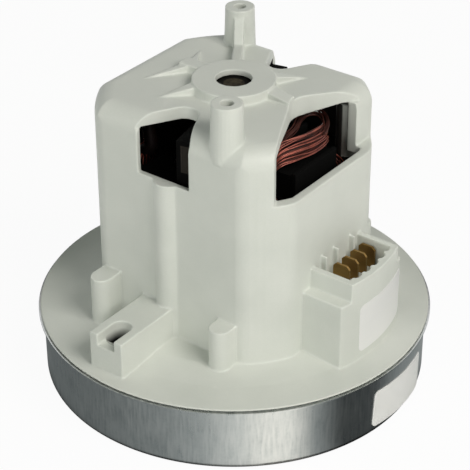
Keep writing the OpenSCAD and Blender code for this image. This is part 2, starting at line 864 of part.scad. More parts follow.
// Brush spring path: a helix along the brush axis with straight ends
rings_per_curl = 8;
spring_mean_r = spring_r - spring_wire / 2;
spring_axial = spring_l - 2 * spring_wire;
spring_count = rings_per_curl * spring_turns;
spring_curls = [for (n = [0 : spring_count])
    let (q = 360 * n / rings_per_curl)
    [
        spring_mean_r * cos(q),
        spring_y0 + spring_wire + spring_axial * n / spring_count,
        spring_mean_r * sin(q)
    ]];
spring_path = concat(
    [spring_curls[0] - spring_wire * tangent(spring_curls, 0)],
    spring_curls,
    [spring_curls[spring_count] + spring_wire * tangent(spring_curls, spring_count)]
);
spring_self_gap = least_gap(spring_path, spring_wire, 5);
echo("least gap between curls of a brush spring, mm", spring_self_gap);
assert(spring_self_gap > 0.4, "the brush spring's curls touch");

// Lead routes, chosen by hand, with heights above the flange
terminal_route_a = [
    [lead_x, -1.2, lead_z], [lead_x, -1.2, 9.6], [42.4, -1.3, 7.8], [40.4, -1.6, 7], [37, -2, 6.8],
    [33.6, -2.4, 6.8], [32, -2.4, 6.8]
];
terminal_route_b = [
    [lead_x, 13.8, lead_z], [lead_x, 13.8, 9.6], [43.3, 12.4, 7.6], [42.5, 10.8, 6.4], [40, 10.2, 5.8],
    [37, 10.2, 5.4], [34.6, 13, 5], [33.6, 18, 4.6], [30.6, 23.4, 4.4], [22, 27, 4.4], [8, 29, 4.4],
    [-8, 29, 4.4], [-20, 27.4, 4.4], [-26, 25, 4.4], [-27, 23.4, 4.8], [-27, 21.4, 5]
];
brush_route_a = [
    [20.8, -18.6, 64.4], [19.4, -20.6, 64.4], [17.4, -24, 64.4], [15.2, -27.6, 64.4], [13, -30.2, 64.4],
    [10.7, -31, 64.4], [8.7, -31.4, 64.4]
];

// Housing pieces

// Shapes that appear twice, turned half round the shaft
module both_sides() {
    children();
    rotate(180) children();
}

module flange_disc() {
    edge = can_r + lip_proud - flange_inset;
    translate([0, 0, can_h])
        rotate_extrude()
            polygon([
                [0, 0],
                [edge, 0],
                [edge, flange_rim],
                [edge - flange_bend, flange_t - flange_fall],
                [tower_r, flange_t],
                [0, flange_t]
            ]);
    skirt_out = can_in - skirt_gap;
    translate([0, 0, can_h - skirt_h])
        linear_extrude(skirt_h + eps) ring_2d(skirt_out, skirt_out - skirt_t);
}

module tower_shell() {
    intersection() {
        translate([0, 0, can_h])
            linear_extrude(roof_z - can_h) blended_plan(tower_r, flat_x, flat_y, corner_blend);
        rotate_extrude() rounded_half(tower_r, roof_z, shoulder_r);
        rotate([90, 0, 0])
            linear_extrude(through, center = true) rounded_top(flat_x, roof_z, shoulder_r);
        rotate([90, 0, 90])
            linear_extrude(through, center = true) rounded_top(flat_y, roof_z, shoulder_r);
    }
}

// Waste above a side sill, with the roof's edge rounded again behind it
module side_step_cut() {
    drop = shoulder_r;
    translate([upper_x, 0, side_sill]) cube([through, through, through]);
    translate([0, through, 0])
        rotate([90, 0, 0])
            linear_extrude(through)
                difference() {
                    translate([upper_x - drop, roof_z - drop]) square(2 * drop);
                    translate([upper_x - drop, roof_z - drop]) circle(drop + tuck);
                }
}

module tower_cavity() {
    translate([0, 0, can_h - skirt_h])
        linear_extrude(side_sill - shelf_t - can_h + skirt_h) tower_plan(in_r, in_x, in_y);
    translate([0, 0, side_sill - shelf_t - lap])
        linear_extrude(roof_under - side_sill + shelf_t + lap)
            difference() {
                tower_plan(in_r, in_x, in_y);
                translate([upper_in_x, side_win_right]) square(through);
            }
}

module side_window_cut() {
    translate([0, 0, side_sill]) linear_extrude(roof_under - side_sill - lap) side_window_plan();
}

module back_window_cut() {
    translate([-through - in_x + lap, -back_win_half, side_sill])
        cube([through, 2 * back_win_half, back_win_h]);
}

module side_arch_cut() {
    below = 0.6;
    over = 0.3;
    translate([0, 0, arch_lip_z - below])
        linear_extrude(through)
            intersection() {
                side_arch(0);
                translate([0, side_win_right - through]) square([through, through]);
            }
    translate([0, 0, roof_under + over]) linear_extrude(through) side_arch(0);
}

// Rim under the roof at the arch's tip, running out along its legs
module side_arch_lip() {
    x0 = arch_tip_x - arch_tip_r - arch_lip_t - lap;
    run = 12;
    jamb_room = 2;
    intersection() {
        translate([0, 0, arch_lip_z])
            linear_extrude(roof_z - lap - arch_lip_z) side_arch(arch_lip_t);
        rotate([90, 0, 0])
            linear_extrude(through, center = true)
                polygon([
                    [x0, arch_lip_z],
                    [x0 + run / 3, arch_lip_z],
                    [x0 + run, roof_under],
                    [x0 + run, roof_under + lap],
                    [x0, roof_under + lap]
                ]);
        translate([0, -side_win_right]) cube([through, 2 * side_win_right - jamb_room, through]);
    }
}

module end_window_cut() {
    below = 0.5;
    translate([-end_win_left, -through - in_y + lap, end_sill])
        cube([end_win_left + end_win_right, through, roof_under - below / 2 - end_sill]);
    translate([0, 0, roof_under - below]) linear_extrude(through) end_arch();
}

// Rib that tapers to nothing along +X
module taper_rib(l, w, h) {
    tip_drop = 0.3;
    intersection() {
        translate([0, 0, -lap])
            linear_extrude(h + lap) polygon([[0, -w / 2], [l, 0], [0, w / 2]]);
        rotate([90, 0, 0])
            linear_extrude(w, center = true) polygon([[0, -lap], [l, -lap], [l, -tip_drop], [0, h]]);
    }
}

module roof_arm() {
    root = boss_r - 2 * lap;
    translate([root, -arm_set, roof_z - lap]) cube([arm_reach - root, arm_w, lap + rib_h - rib_step]);
}

// Arm that runs down from the boss to the side arch
module sloping_arm() {
    root = boss_r - 2 * lap;
    end_h = 0.9;
    translate([0, arm_w - arm_set, 0])
        rotate([90, 0, 0])
            linear_extrude(arm_w)
                polygon([
                    [root, roof_z - lap],
                    [root, roof_z + rib_h - rib_step],
                    [arm_reach, roof_z + end_h],
                    [arm_reach, roof_z - lap]
                ]);
}

module roof_wings() {
    h = rib_h - 2 * rib_step;
    translate([-arm_reach + wing_w, arm_w / 2 - arm_set, roof_z]) {
        rotate(wing_back_deg) taper_rib(wing_l, wing_w, h);
        rotate(wing_front_deg) taper_rib(wing_l + wing_extra, wing_w, h);
    }
}

module roof_ribs() {
    sloping_arm();
    mirror([1, 0, 0]) roof_arm();
    roof_wings();
    both_sides() {
        rotate(thorn_deg) translate([boss_r - lap, 0, roof_z]) taper_rib(thorn_l, thorn_w, rib_h);
        post_rib();
    }
}

module post_rib() {
    root = boss_r - 2 * lap;
    fin_top = post_top - post_fin_drop;
    fin_foot = post_pcr - 2 * post_r + lap;
    rotate(post_deg)
        rotate([90, 0, 0])
            linear_extrude(post_rib_w, center = true)
                polygon([
                    [root, roof_z - lap],
                    [root, roof_z + rib_h],
                    [fin_foot, roof_z + rib_h - 3 * rib_step],
                    [post_pcr - post_r, fin_top],
                    [post_pcr, fin_top],
                    [post_pcr, roof_z - lap]
                ]);
}

module post() {
    foot = roof_under - 2 * lap;
    rotate(post_deg)
        translate([post_pcr, 0, foot])
            cylinder(h = post_top - foot, r1 = post_r + post_draft, r2 = post_r);
}

module post_hole() {
    rotate(post_deg)
        translate([post_pcr, 0, post_top - post_hole_d])
            cylinder(h = post_hole_d + lap, r = post_hole_r);
}

module bearing_boss() {
    translate([0, 0, roof_under]) cylinder(h = boss_top - roof_under, r = boss_r);
}

module bearing_hub() {
    translate([0, 0, hub_z0]) cylinder(h = roof_z - hub_z0 - lap, r = hub_r);
}

module bearing_pocket() {
    translate([0, 0, hub_z0 - lap]) cylinder(h = top_z1 - hub_z0 + lap, r = cushion_r);
    cylinder(h = through, r = boss_hole_r);
}

module clip_block() {
    translate([clip_x - clip_w / 2, -clip_reach, can_h])
        cube([clip_w, clip_reach - flat_y + lap, flange_t + clip_h]);
}

module clip_slot() {
    top = flange_top + clip_h;
    end_r = clip_slot_w / 2;
    translate([clip_x, -clip_reach + clip_slot_l - end_r, top - clip_slot_d]) {
        cylinder(h = through, r = end_r);
        translate([-end_r, -through, 0]) cube([clip_slot_w, through, through]);
    }
    translate([clip_x, -clip_reach + clip_slot_l - end_r, can_h - lap]) {
        cylinder(h = through, r = end_r);
        translate([-end_r, end_r - clip_pocket_l, 0]) cube([clip_slot_w, clip_pocket_l - end_r, through]);
    }
}

module cable_column() {
    translate([column_x, -flat_y - column_proud + column_r, can_h])
        cylinder(h = end_sill - can_h, r = column_r);
}

// Peg with a rounded outer side
module peg(x, y, h) {
    translate([x, -y, can_h]) {
        cylinder(h = flange_t + h, r = peg_w / 2);
        translate([-peg_w / 2, 0, 0]) cube([peg_w, y - in_y - lap, flange_t + h]);
    }
}

module peg_hole() {
    for (at = peg_at)
        translate([at.x, at.y, can_h - lap])
            cylinder(h = lap + bracket_screw_in + lap, r = bracket_screw_r + screw_gap);
}

// Terminal block with its curved outer face
module terminal_block() {
    intersection() {
        union() {
            translate([in_x + lap, -term_foot_left, can_h])
                cube([through, term_foot_left + term_foot_right, foot_z - can_h]);
            translate([in_x + lap, -term_left, can_h])
                cube([through, term_left + term_right, rim_z - can_h]);
        }
        cylinder(h = through, r = term_r);
    }
}

module socket_cut() {
    intersection() {
        translate([flat_x - tuck, -term_left + term_wall, floor_z])
            cube([through, term_left + term_right - 2 * term_wall, through]);
        cylinder(h = through, r = term_r - term_wall);
    }
}

// Hollow under the socket where the leads join the tabs, open to the tower
module lead_hollow() {
    intersection() {
        translate([flat_x + hollow_set, -term_left, flange_top])
            cube([through, term_left + term_right, hollow_z1 - flange_top]);
        cylinder(h = through, r = term_r - hollow_wall);
    }
    translate([in_x - lap, -lead_door_left, flange_top + lead_door_sill])
        cube([
            flat_x + hollow_set - in_x + 2 * lap,
            lead_door_w,
            hollow_z1 - flange_top - 3 * lead_door_sill
        ]);
}

module tab_slots() {
    for (y = tab_y)
        translate([tab_x0 - snug, y - tab_t / 2 - snug, hollow_z1 - lap])
            cube([tab_w + 2 * snug, tab_t + 2 * snug, socket_floor + 2 * lap]);
}

module coding_ribs() {
    wall_in = term_r - term_wall;
    for (i = [0 : 4]) {
        y = tab_y0 + (i - bump_shift) * tab_pitch;
        translate([sqrt(wall_in * wall_in - y * y), y, floor_z - lap])
            cylinder(h = rim_z - floor_z + lap, r = bump_r);
    }
    for (i = fin_at)
        translate([flat_x - lap, tab_y0 + i * tab_pitch - fin_w / 2, floor_z - lap])
            cube([fin_d + lap, fin_w, rim_z + fin_rise - floor_z + lap]);
}

module corner_bosses() {
    for (sx = [-1, 1], sy = [-1, 1])
        translate([sx * stator_screw_x, sy * stator_screw_y, stack_z1 + insul_t])
            cylinder(h = roof_z - shoulder_r - stack_z1 - insul_t, r = corner_boss_r);
}

module stator_screw_holes(r, z0, h) {
    both_sides()
        translate([stator_screw_x, stator_screw_y, z0]) cylinder(h = h, r = r);
}

// Sub-parts, fixed

module motor_housing() {
    color(moulding)
    difference() {
        union() {
            difference() {
                union() {
                    flange_disc();
                    tower_shell();
                    bearing_boss();
                    roof_ribs();
                    both_sides() post();
                    clip_block();
                    both_sides() cable_column();
                    both_sides() peg(peg_x, peg_y, peg_h);
                    both_sides() peg(-tall_peg_x, tall_peg_y, tall_peg_h);
                    terminal_block();
                }
                tower_cavity();
                side_step_cut();
                side_window_cut();
                back_window_cut();
                both_sides() end_window_cut();
                clip_slot();
                socket_cut();
                lead_hollow();
            }
            side_arch_lip();
            bearing_hub();
            corner_bosses();
            coding_ribs();
        }
        side_arch_cut();
        bearing_pocket();
        both_sides() post_hole();
        peg_hole();
        tab_slots();
        stator_screw_holes(stator_screw_r - screw_gap, stack_z1, insul_t + stator_screw_in + 2 * lap);
    }
}

module can_profile(r, c, h) {
    translate([0, c]) square([r, h - c]);
    square([r - c, h]);
    translate([r - c, c]) circle(c);
}

module fan_can() {
    color(steel)
    rotate_extrude()
        difference() {
            union() {
                difference() {
                    can_profile(can_r, can_corner, can_h);
                    translate([0, can_sheet])
                        can_profile(can_in, can_corner - can_sheet, can_h);
                }
                translate([can_in, can_h - lip_drop - lip_t]) square([can_sheet + lip_proud, lip_t]);
                translate([inlet_r, 0]) square([can_sheet, can_sheet + inlet_collar]);
            }
            translate([-inlet_r, -lap]) square([2 * inlet_r, can_h]);
        }
}

module diffuser() {
    color(black_plastic) {
        translate([0, 0, diffuser_z0])
            linear_extrude(diffuser_t) ring_2d(diffuser_r, spacer_r + spacer_room);
        for (i = [0 : diffuser_vanes - 1])
            rotate(360 * i / diffuser_vanes)
                translate([diffuser_r - diffuser_vane_l, 0, can_sheet + vane_foot_gap])
                    rotate(diffuser_vane_deg)
                        cube([
                            diffuser_vane_l - vane_end_gap,
                            diffuser_vane_t,
                            diffuser_z0 - can_sheet - vane_foot_gap + eps
                        ]);
        for (i = [0 : return_vanes - 1])
            rotate(360 * i / return_vanes)
                translate([diffuser_r - return_vane_l, 0, diffuser_z1 - eps])
                    rotate(return_vane_deg)
                        cube([return_vane_l - vane_end_gap, diffuser_vane_t, can_h - diffuser_z1 + eps]);
    }
}

module bracket_plan() {
    circle(low_ro + cup_t + cup_foot);
    for (at = peg_at) {
        translate(at) circle(bracket_arm_w / 2);
        rotate(atan2(at.y, at.x))
            translate([0, -bracket_arm_w / 2]) square([norm(at), bracket_arm_w]);
    }
}

module bearing_bracket() {
    color(alloy)
    difference() {
        union() {
            translate([0, 0, bracket_z0]) linear_extrude(bracket_t) bracket_plan();
            translate([0, 0, low_z0 - cup_lip])
                cylinder(h = low_w + cup_lip, r = low_ro + cup_t);
        }
        translate([0, 0, low_z0]) cylinder(h = low_w + lap, r = low_ro + shaft_fit);
        cylinder(h = through, r = low_ro - cup_lip);
        for (at = peg_at)
            translate([at.x, at.y, 0])
                cylinder(h = through, r = bracket_screw_r + screw_gap);
    }
}

// Screw pointing up, its head's seat at z = 0, with a cross recess
module screw(r, l, head_r, head_h) {
    recess_w = 0.35 * head_r;
    recess_l = 1.4 * head_r;
    cylinder(h = l, r = r);
    difference() {
        translate([0, 0, -head_h]) cylinder(h = head_h, r = head_r);
        for (a = [0, 90])
            rotate(a)
                translate([-recess_l / 2, -recess_w / 2, -head_h - lap])
                    cube([recess_l, recess_w, lap + head_h / 2]);
    }
}

module bracket_screws() {
    color(dark_steel)
    for (at = peg_at)
        translate([at.x, at.y, bracket_z0])
            screw(bracket_screw_r, bracket_t + bracket_screw_in, 2 * bracket_screw_r, screw_head_h);
}

// Plan of the stack: yoke, poles and winding pockets
module stack_plan() {
    difference() {
        tower_plan(stack_r, stack_x, stack_y);
        circle(bore_r);
        for (sx = [0, 1], sy = [0, 1])
            mirror([sx, 0, 0]) mirror([0, sy, 0])
                difference() {
                    translate([shoe_t, neck_half]) square([pocket_x1 - shoe_t, pocket_y1 - neck_half]);
                    circle(shoe_r);
                }
        both_sides() translate([stator_screw_x, stator_screw_y]) circle(stator_screw_r + screw_gap);
    }
}

module stator_core() {
    color(dark_steel) translate([0, 0, stack_z0]) linear_extrude(stack_h) stack_plan();
}

// Plan of an end insulator: the stack's outline with openings for bore and coil legs
module insulator_plan() {
    difference() {
        tower_plan(stack_r, stack_x, stack_y);
        circle(bore_r + bore_room);
        for (sx = [0, 1], sy = [0, 1])
            mirror([sx, 0, 0]) mirror([0, sy, 0])
                translate([coil_x0 - leg_room, neck_half + wire_gap])
                    square([pocket_x1 - coil_x0 + leg_room + seat_gap, pocket_y1 - neck_half - 2 * wire_gap]);
        both_sides() translate([stator_screw_x, stator_screw_y]) circle(stator_screw_r + screw_gap);
    }
}

// Cheek plates and saddle that hold a coil's end turns, rising from z = 0
module coil_seat(saddle, inner_h, outer_h) {
    x0 = coil_x0 - cheek_gap;
    both_sides() {
        translate([x0 - cheek_t, -neck_half, 0]) cube([cheek_t, 2 * neck_half, inner_h]);
        translate([pocket_x1, -neck_half, 0]) cube([cheek_t, 2 * neck_half, outer_h]);
        translate([x0 - eps, -neck_half + seat_gap, 0])
            cube([pocket_x1 - x0 + 2 * eps, 2 * (neck_half - seat_gap), saddle]);
    }
}

module upper_insulator() {
    pedestal_h = brush_z - holder_half_h - stack_z1;
    color(black_plastic)
    translate([0, 0, stack_z1]) {
        linear_extrude(insul_t) insulator_plan();
        translate([0, 0, insul_t - eps])
            coil_seat(saddle_h, saddle_h + inner_cheek_h, saddle_h + outer_cheek_h);
        rotate(brush_swing) both_sides()
            translate([-holder_half_w, pedestal_y0, 0])
                cube([2 * holder_half_w, cap_y1 - pedestal_y0, pedestal_h]);
    }
}

module lower_insulator() {
    color(black_plastic)
    translate([0, 0, stack_z0 - insul_t]) {
        linear_extrude(insul_t) insulator_plan();
        mirror([0, 0, 1]) translate([0, 0, -eps]) both_sides()
            translate([pocket_x1, -neck_half, 0]) cube([cheek_t, 2 * neck_half, lower_cheek_h]);
    }
}

module stator_screws() {
    color(dark_steel)
    both_sides()
        translate([stator_screw_x, stator_screw_y, stack_z0 - insul_t])
            screw(stator_screw_r - 2 * screw_gap, stator_screw_l, stator_head * stator_screw_r, screw_head_h);
}

// Coil core: the inner turns as one bundle, one layer smaller than the coil
module coil_core() {
    color(copper)
    translate([coil_x0, 0, 0])
        rotate([90, 0, 90])
            linear_extrude(coil_t - layer)
                difference() {
                    translate([0, coil_mid])
                        rounded_rect(
                            2 * (coil_y1 - layer), 2 * (coil_half_z - layer), coil_corner - layer
                        );
                    translate([0, coil_mid_i])
                        rounded_rect(2 * coil_y0, 2 * coil_half_zi, coil_corner_in);
                }
}

module field_winding() {
    color(copper) tube(winding_path, wire_r, 6, [1, 0.02, 0.01]);
}

// Brush gear on the -Y side

module brush_tube() {
    color(brass)
    translate([0, 0, brush_z])
        rotate([90, 0, 0])
            translate([0, 0, tube_y0])
                linear_extrude(cap_y1 - tube_y0)
                    difference() {
                        square([2 * tube_half_w, 2 * tube_half_h], center = true);
                        square([2 * (tube_half_w - tube_t), 2 * (tube_half_h - tube_t)], center = true);
                    }
}

module brush_holder() {
    color(black_plastic)
    translate([0, 0, brush_z])
        rotate([90, 0, 0])
            translate([0, 0, holder_y0])
                linear_extrude(cap_y1 - holder_y0)
                    difference() {
                        square([2 * holder_half_w, 2 * holder_half_h], center = true);
                        square([2 * tube_half_w, 2 * tube_half_h], center = true);
                    }
}

module brush_cap() {
    w = 2 * (tube_half_w - tube_t - snug);
    h = 2 * (tube_half_h - tube_t - snug);
    color(brass) translate([-w / 2, -cap_y1, brush_z - h / 2]) cube([w, cap_t, h]);
}

module brush_spring() {
    color(steel)
    translate([0, 0, brush_z])
        mirror([0, 1, 0]) tube(spring_path, spring_wire / 2, 6, [0.01, 1, 0.02]);
}

module carbon_brush() {
    color(carbon)
    difference() {
        translate([-brush_w / 2, -brush_y1, brush_z - brush_h / 2])
            cube([brush_w, brush_l + lap, brush_h]);
        cylinder(h = through, r = comm_r + brush_gap);
    }
}

// Ball bearing pieces, with the balls' radius as a share of the section and lands as a share of that
ball_share = 0.27;
land_share = 0.75;
cage_share = 0.45;

function bearing_pitch(ri, ro) = (ri + ro) / 2;
function bearing_ball(ri, ro) = ball_share * (ro - ri);
function bearing_land(ri, ro) = land_share * bearing_ball(ri, ro);

// Race groove for a ring about the middle of the bearing
module race(ri, ro) {
    rotate_extrude() translate([bearing_pitch(ri, ro), 0]) circle(bearing_ball(ri, ro) + ball_gap);
}

module outer_ring(ri, ro, w) {
    color(steel)
    difference() {
        translate([0, 0, -w / 2])
            linear_extrude(w) ring_2d(ro, bearing_pitch(ri, ro) + bearing_land(ri, ro));
        race(ri, ro);
    }
}

module inner_ring(ri, ro, w) {
    color(steel)
    difference() {
        translate([0, 0, -w / 2])
            linear_extrude(w) ring_2d(bearing_pitch(ri, ro) - bearing_land(ri, ro), ri + shaft_fit);
        race(ri, ro);
    }
}

module ball_set(ri, ro) {
    color(alloy)
    for (i = [0 : balls - 1])
        rotate(360 * i / balls) translate([bearing_pitch(ri, ro), 0, 0]) sphere(bearing_ball(ri, ro));
}

// Crown cage on one side of the balls
module ball_cage(ri, ro) {
    b = bearing_ball(ri, ro);
    p = bearing_pitch(ri, ro);
    cage_z = 0.2 * b;
    cage_h = 1.15 * b;
    color(brass)
    difference() {
        translate([0, 0, cage_z]) linear_extrude(cage_h) ring_2d(p + cage_share * b, p - cage_share * b);
        for (i = [0 : balls - 1])
            rotate(360 * i / balls) translate([p, 0, 0]) sphere(b + 2 * ball_gap);
    }
}

module shields(ri, ro, w) {
    land = bearing_land(ri, ro);
    p = bearing_pitch(ri, ro);
    color(dark_steel)
    for (s = [-1, 1])
        translate([0, 0, s * (w / 2 - shield_t) - shield_t / 2])
            linear_extrude(shield_t) ring_2d(p + land - snug, p - land + seal_gap);
}

module at_top_bearing() {
    translate([0, 0, top_z0 + top_w / 2]) children();
}

module at_fan_bearing() {
    translate([0, 0, low_z0 + low_w / 2]) children();
}

module bearing_cushion() {
    color(rubber)
    translate([0, 0, top_z0]) linear_extrude(top_w) ring_2d(cushion_r - shaft_fit, top_ro + shaft_fit);
}

module bearing_retainer() {
    inner = bearing_pitch(top_ri, top_ro) + bearing_land(top_ri, top_ro) + seal_gap;
    color(dark_steel)
    translate([0, 0, top_z0 - retainer_t]) linear_extrude(retainer_t) ring_2d(cushion_r - shaft_fit, inner);
}

// Sub-parts on the rotor

module rotor_shaft() {
    color(steel) {
        translate([0, 0, shaft_z0]) cylinder(h = top_z0 - shaft_z0, r = shaft_r);
        translate([0, 0, shaft_z0]) cylinder(h = shaft_z1 - shaft_z0, r = top_ri);
    }
}

module armature_core() {
    color(dark_steel)
    translate([0, 0, stack_z0])
        linear_extrude(stack_h)
            difference() {
                circle(arm_r);
                circle(shaft_r + shaft_fit);
                for (i = [0 : slots - 1])
                    rotate(360 * i / slots) {
                        translate([slot_at, 0]) circle(slot_r);
                        translate([slot_at, -slot_mouth / 2]) square([arm_r + lap - slot_at, slot_mouth]);
                    }
            }
}

// Winding heads joined by the wires in the slots
module armature_winding() {
    head_in = shaft_r + head_bore_gap;
    head_mid = arm_r - head_inset - head_h / 2;
    color(copper) {
        for (z = [stack_z1 + head_gap, stack_z0 - head_gap - head_h])
            translate([0, 0, z])
                rotate_extrude() {
                    translate([head_in, 0]) square([head_mid - head_in, head_h]);
                    translate([head_mid, head_h / 2]) circle(head_h / 2);
                }
        for (i = [0 : slots - 1])
            rotate(360 * i / slots)
                translate([slot_at, 0, stack_z0 - head_gap - lap])
                    cylinder(h = stack_h + 2 * (head_gap + lap), r = slot_r - slot_liner);
    }
}

module commutator_hub() {
    color(phenolic)
    translate([0, 0, comm_z0])
        linear_extrude(comm_h) ring_2d(comm_r - bar_depth - shaft_fit, shaft_r + shaft_fit);
}

module commutator_bars() {
    color(copper)
    difference() {
        translate([0, 0, comm_z0]) {
            linear_extrude(comm_h) ring_2d(comm_r, comm_r - bar_depth);
            linear_extrude(riser_h) ring_2d(comm_r + riser_proud, comm_r - bar_depth);
        }
        for (i = [0 : bars - 1])
            rotate(360 * i / bars)
                translate([0, -bar_slot / 2, comm_z0 - lap]) cube([2 * comm_r, bar_slot, comm_h + 2 * lap]);
    }
}

module fan_front_disc() {
    color(alloy) {
        translate([0, 0, front_z]) linear_extrude(disc_t) ring_2d(fan_r, eye_r);
        translate([0, 0, front_z - eye_h]) linear_extrude(eye_h + disc_t) ring_2d(eye_r + disc_t, eye_r);
    }
}

module fan_back_disc() {
    color(alloy) translate([0, 0, back_z]) linear_extrude(disc_t) ring_2d(fan_r, shaft_r + shaft_fit);
}

// One vane: part of a large ring, kept to one side of its inner end
module vane_plan() {
    intersection() {
        translate([vane_hub_x, -vane_hub_y]) ring_2d(vane_curve, vane_curve - vane_t);
        ring_2d(fan_r - vane_edge_gap, vane_in);
        translate([vane_start_x, 0]) square([through, through]);
    }
}

module fan_vanes() {
    color(alloy)
    translate([0, 0, vane_z0])
        for (i = [0 : vanes - 1])
            rotate(360 * i / vanes) linear_extrude(vane_h) vane_plan();
}

module fan_spacer() {
    color(steel)
    translate([0, 0, spacer_z0])
        linear_extrude(low_z0 - spacer_z0) ring_2d(spacer_r, shaft_r + shaft_fit);
}

module fan_washer() {
    color(steel)
    translate([0, 0, nut_z1]) linear_extrude(washer_t) ring_2d(washer_r, shaft_r + shaft_fit);
}

module fan_nut() {
    color(dark_steel)
    translate([0, 0, nut_z0])
        difference() {
            cylinder(h = nut_h, r = nut_af / sqrt(3), $fn = 6);
            translate([0, 0, -lap]) cylinder(h = nut_h + 2 * lap, r = shaft_r + shaft_fit);
        }
}

// Terminals, leads and labels

module terminal_tab(i) {
    neck_z = hollow_z1 - tab_neck;
    z0 = hollow_z1 - tab_tail;
    z1 = rim_z - tab_below;
    color(brass)
    translate([tab_x0, tab_y[i] + tab_t / 2, 0])
        rotate([90, 0, 0])
            linear_extrude(tab_t)
                polygon([
                    [tab_tail_in, z0], [tab_w - tab_tail_in, z0],
                    [tab_w - tab_tail_in, neck_z], [tab_w, hollow_z1],
                    [tab_w, z1 - tab_bevel], [tab_w - tab_bevel, z1],
                    [tab_bevel, z1], [0, z1 - tab_bevel],
                    [0, hollow_z1], [tab_tail_in, neck_z]
                ]);
}

module lead(route, hue) {
    path = [for (p = route) p + [0, 0, flange_top]];
    color(hue) tube(path, lead_d / 2, 8, [0.37, 0.21, 0.905]);
}

// Label of the size w by h on a cylinder of radius r about the shaft, facing +X, turned by tilt
module curved_label(r, w, h, z, tilt = 0) {
    glue = 0.02;
    color(paper)
    intersection() {
        linear_extrude(through) ring_2d(r + glue + label_t, r + glue);
        translate([0, 0, z + h / 2])
            rotate([90, 0, 90])
                linear_extrude(through)
                    rotate(tilt) rounded_rect(w, h, label_corner);
    }
}

module block_label() {
    swing = asin((term_foot_right - block_label_in - block_label_w / 2) / term_r);
    rotate(swing) curved_label(term_r, block_label_w, block_label_h, flange_top + block_label_up);
}

module can_label() {
    rotate(can_label_deg) curved_label(can_r, can_label_w, can_label_h, can_label_z, can_label_tilt);
}

motor_housing();
fan_can();
diffuser();
bearing_bracket();
bracket_screws();
stator_core();
upper_insulator();
lower_insulator();
stator_screws();
coil_core();  // field_coil_core_a
rotate(180) coil_core();  // field_coil_core_b
field_winding();  // field_winding_a
rotate(180) field_winding();  // field_winding_b
rotate(brush_swing) brush_holder();  // brush_holder_a
rotate(brush_swing + 180) brush_holder();  // brush_holder_b
rotate(brush_swing) brush_tube();  // brush_tube_a
rotate(brush_swing + 180) brush_tube();  // brush_tube_b
rotate(brush_swing) brush_cap();  // brush_cap_a
rotate(brush_swing + 180) brush_cap();  // brush_cap_b
rotate(brush_swing) brush_spring();  // brush_spring_a
rotate(brush_swing + 180) brush_spring();  // brush_spring_b
rotate(brush_swing) carbon_brush();  // carbon_brush_a
rotate(brush_swing + 180) carbon_brush();  // carbon_brush_b
bearing_cushion();
bearing_retainer();
at_top_bearing() outer_ring(top_ri, top_ro, top_w);  // top_outer_ring
at_top_bearing() inner_ring(top_ri, top_ro, top_w);  // top_inner_ring
at_top_bearing() ball_set(top_ri, top_ro);  // top_balls
at_top_bearing() ball_cage(top_ri, top_ro);  // top_cage
at_top_bearing() shields(top_ri, top_ro, top_w);  // top_shields
at_fan_bearing() outer_ring(shaft_r, low_ro, low_w);  // fan_outer_ring
at_fan_bearing() inner_ring(shaft_r, low_ro, low_w);  // fan_inner_ring
at_fan_bearing() ball_set(shaft_r, low_ro);  // fan_balls
at_fan_bearing() ball_cage(shaft_r, low_ro);  // fan_cage
at_fan_bearing() shields(shaft_r, low_ro, low_w);  // fan_shields
rotor_shaft();
armature_core();
armature_winding();
commutator_hub();
commutator_bars();
fan_front_disc();
fan_back_disc();
fan_vanes();
fan_spacer();
fan_washer();
fan_nut();
terminal_tab(0);  // terminal_tab_1
terminal_tab(1);  // terminal_tab_2
terminal_tab(2);  // terminal_tab_3
terminal_tab(3);  // terminal_tab_4
lead(terminal_route_a, lead_red);  // terminal_lead_a
lead(terminal_route_b, lead_red);  // terminal_lead_b
lead(brush_route_a, lead_red);  // brush_lead_a
rotate(180) lead(brush_route_a, lead_red);  // brush_lead_b
block_label();
can_label();
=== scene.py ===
# %% [markdown]
# # A vacuum cleaner's motor unit
# The real object is a universal motor in a pale moulded housing, seated on a pressed steel can that
# holds the fan. The solids come packed in one frame, in metres. This lesson dresses them: finishes for
# the pieces whose shape is right, and new meshes where real plastic is softer or real wire is finer.

# %% Load the frame
import json
import math
import random

import bpy
import numpy as np
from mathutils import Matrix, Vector


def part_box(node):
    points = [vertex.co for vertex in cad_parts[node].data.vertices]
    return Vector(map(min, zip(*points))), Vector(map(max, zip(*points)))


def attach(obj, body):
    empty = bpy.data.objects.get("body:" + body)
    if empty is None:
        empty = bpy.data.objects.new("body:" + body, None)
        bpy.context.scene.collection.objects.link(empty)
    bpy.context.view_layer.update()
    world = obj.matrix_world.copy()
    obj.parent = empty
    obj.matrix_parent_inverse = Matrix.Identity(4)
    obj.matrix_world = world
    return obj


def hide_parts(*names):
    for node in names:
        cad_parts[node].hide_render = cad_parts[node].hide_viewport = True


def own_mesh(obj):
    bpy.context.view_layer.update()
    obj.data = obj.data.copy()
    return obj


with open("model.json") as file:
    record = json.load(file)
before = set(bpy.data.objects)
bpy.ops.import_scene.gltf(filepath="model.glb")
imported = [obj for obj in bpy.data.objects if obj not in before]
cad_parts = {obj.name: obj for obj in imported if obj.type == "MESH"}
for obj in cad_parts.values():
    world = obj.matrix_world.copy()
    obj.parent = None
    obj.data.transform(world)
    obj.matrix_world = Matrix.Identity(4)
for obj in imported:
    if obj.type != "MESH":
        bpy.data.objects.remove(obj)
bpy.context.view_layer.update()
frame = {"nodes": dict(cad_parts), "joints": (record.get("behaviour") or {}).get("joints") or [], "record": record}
nodes = frame["nodes"]
slot_of = {part["node"]: part["material_slot"] for part in frame["record"]["subparts"]}
MM = 0.001
print("solids in the frame:", len(nodes), "in", len(set(slot_of.values())), "finishes")

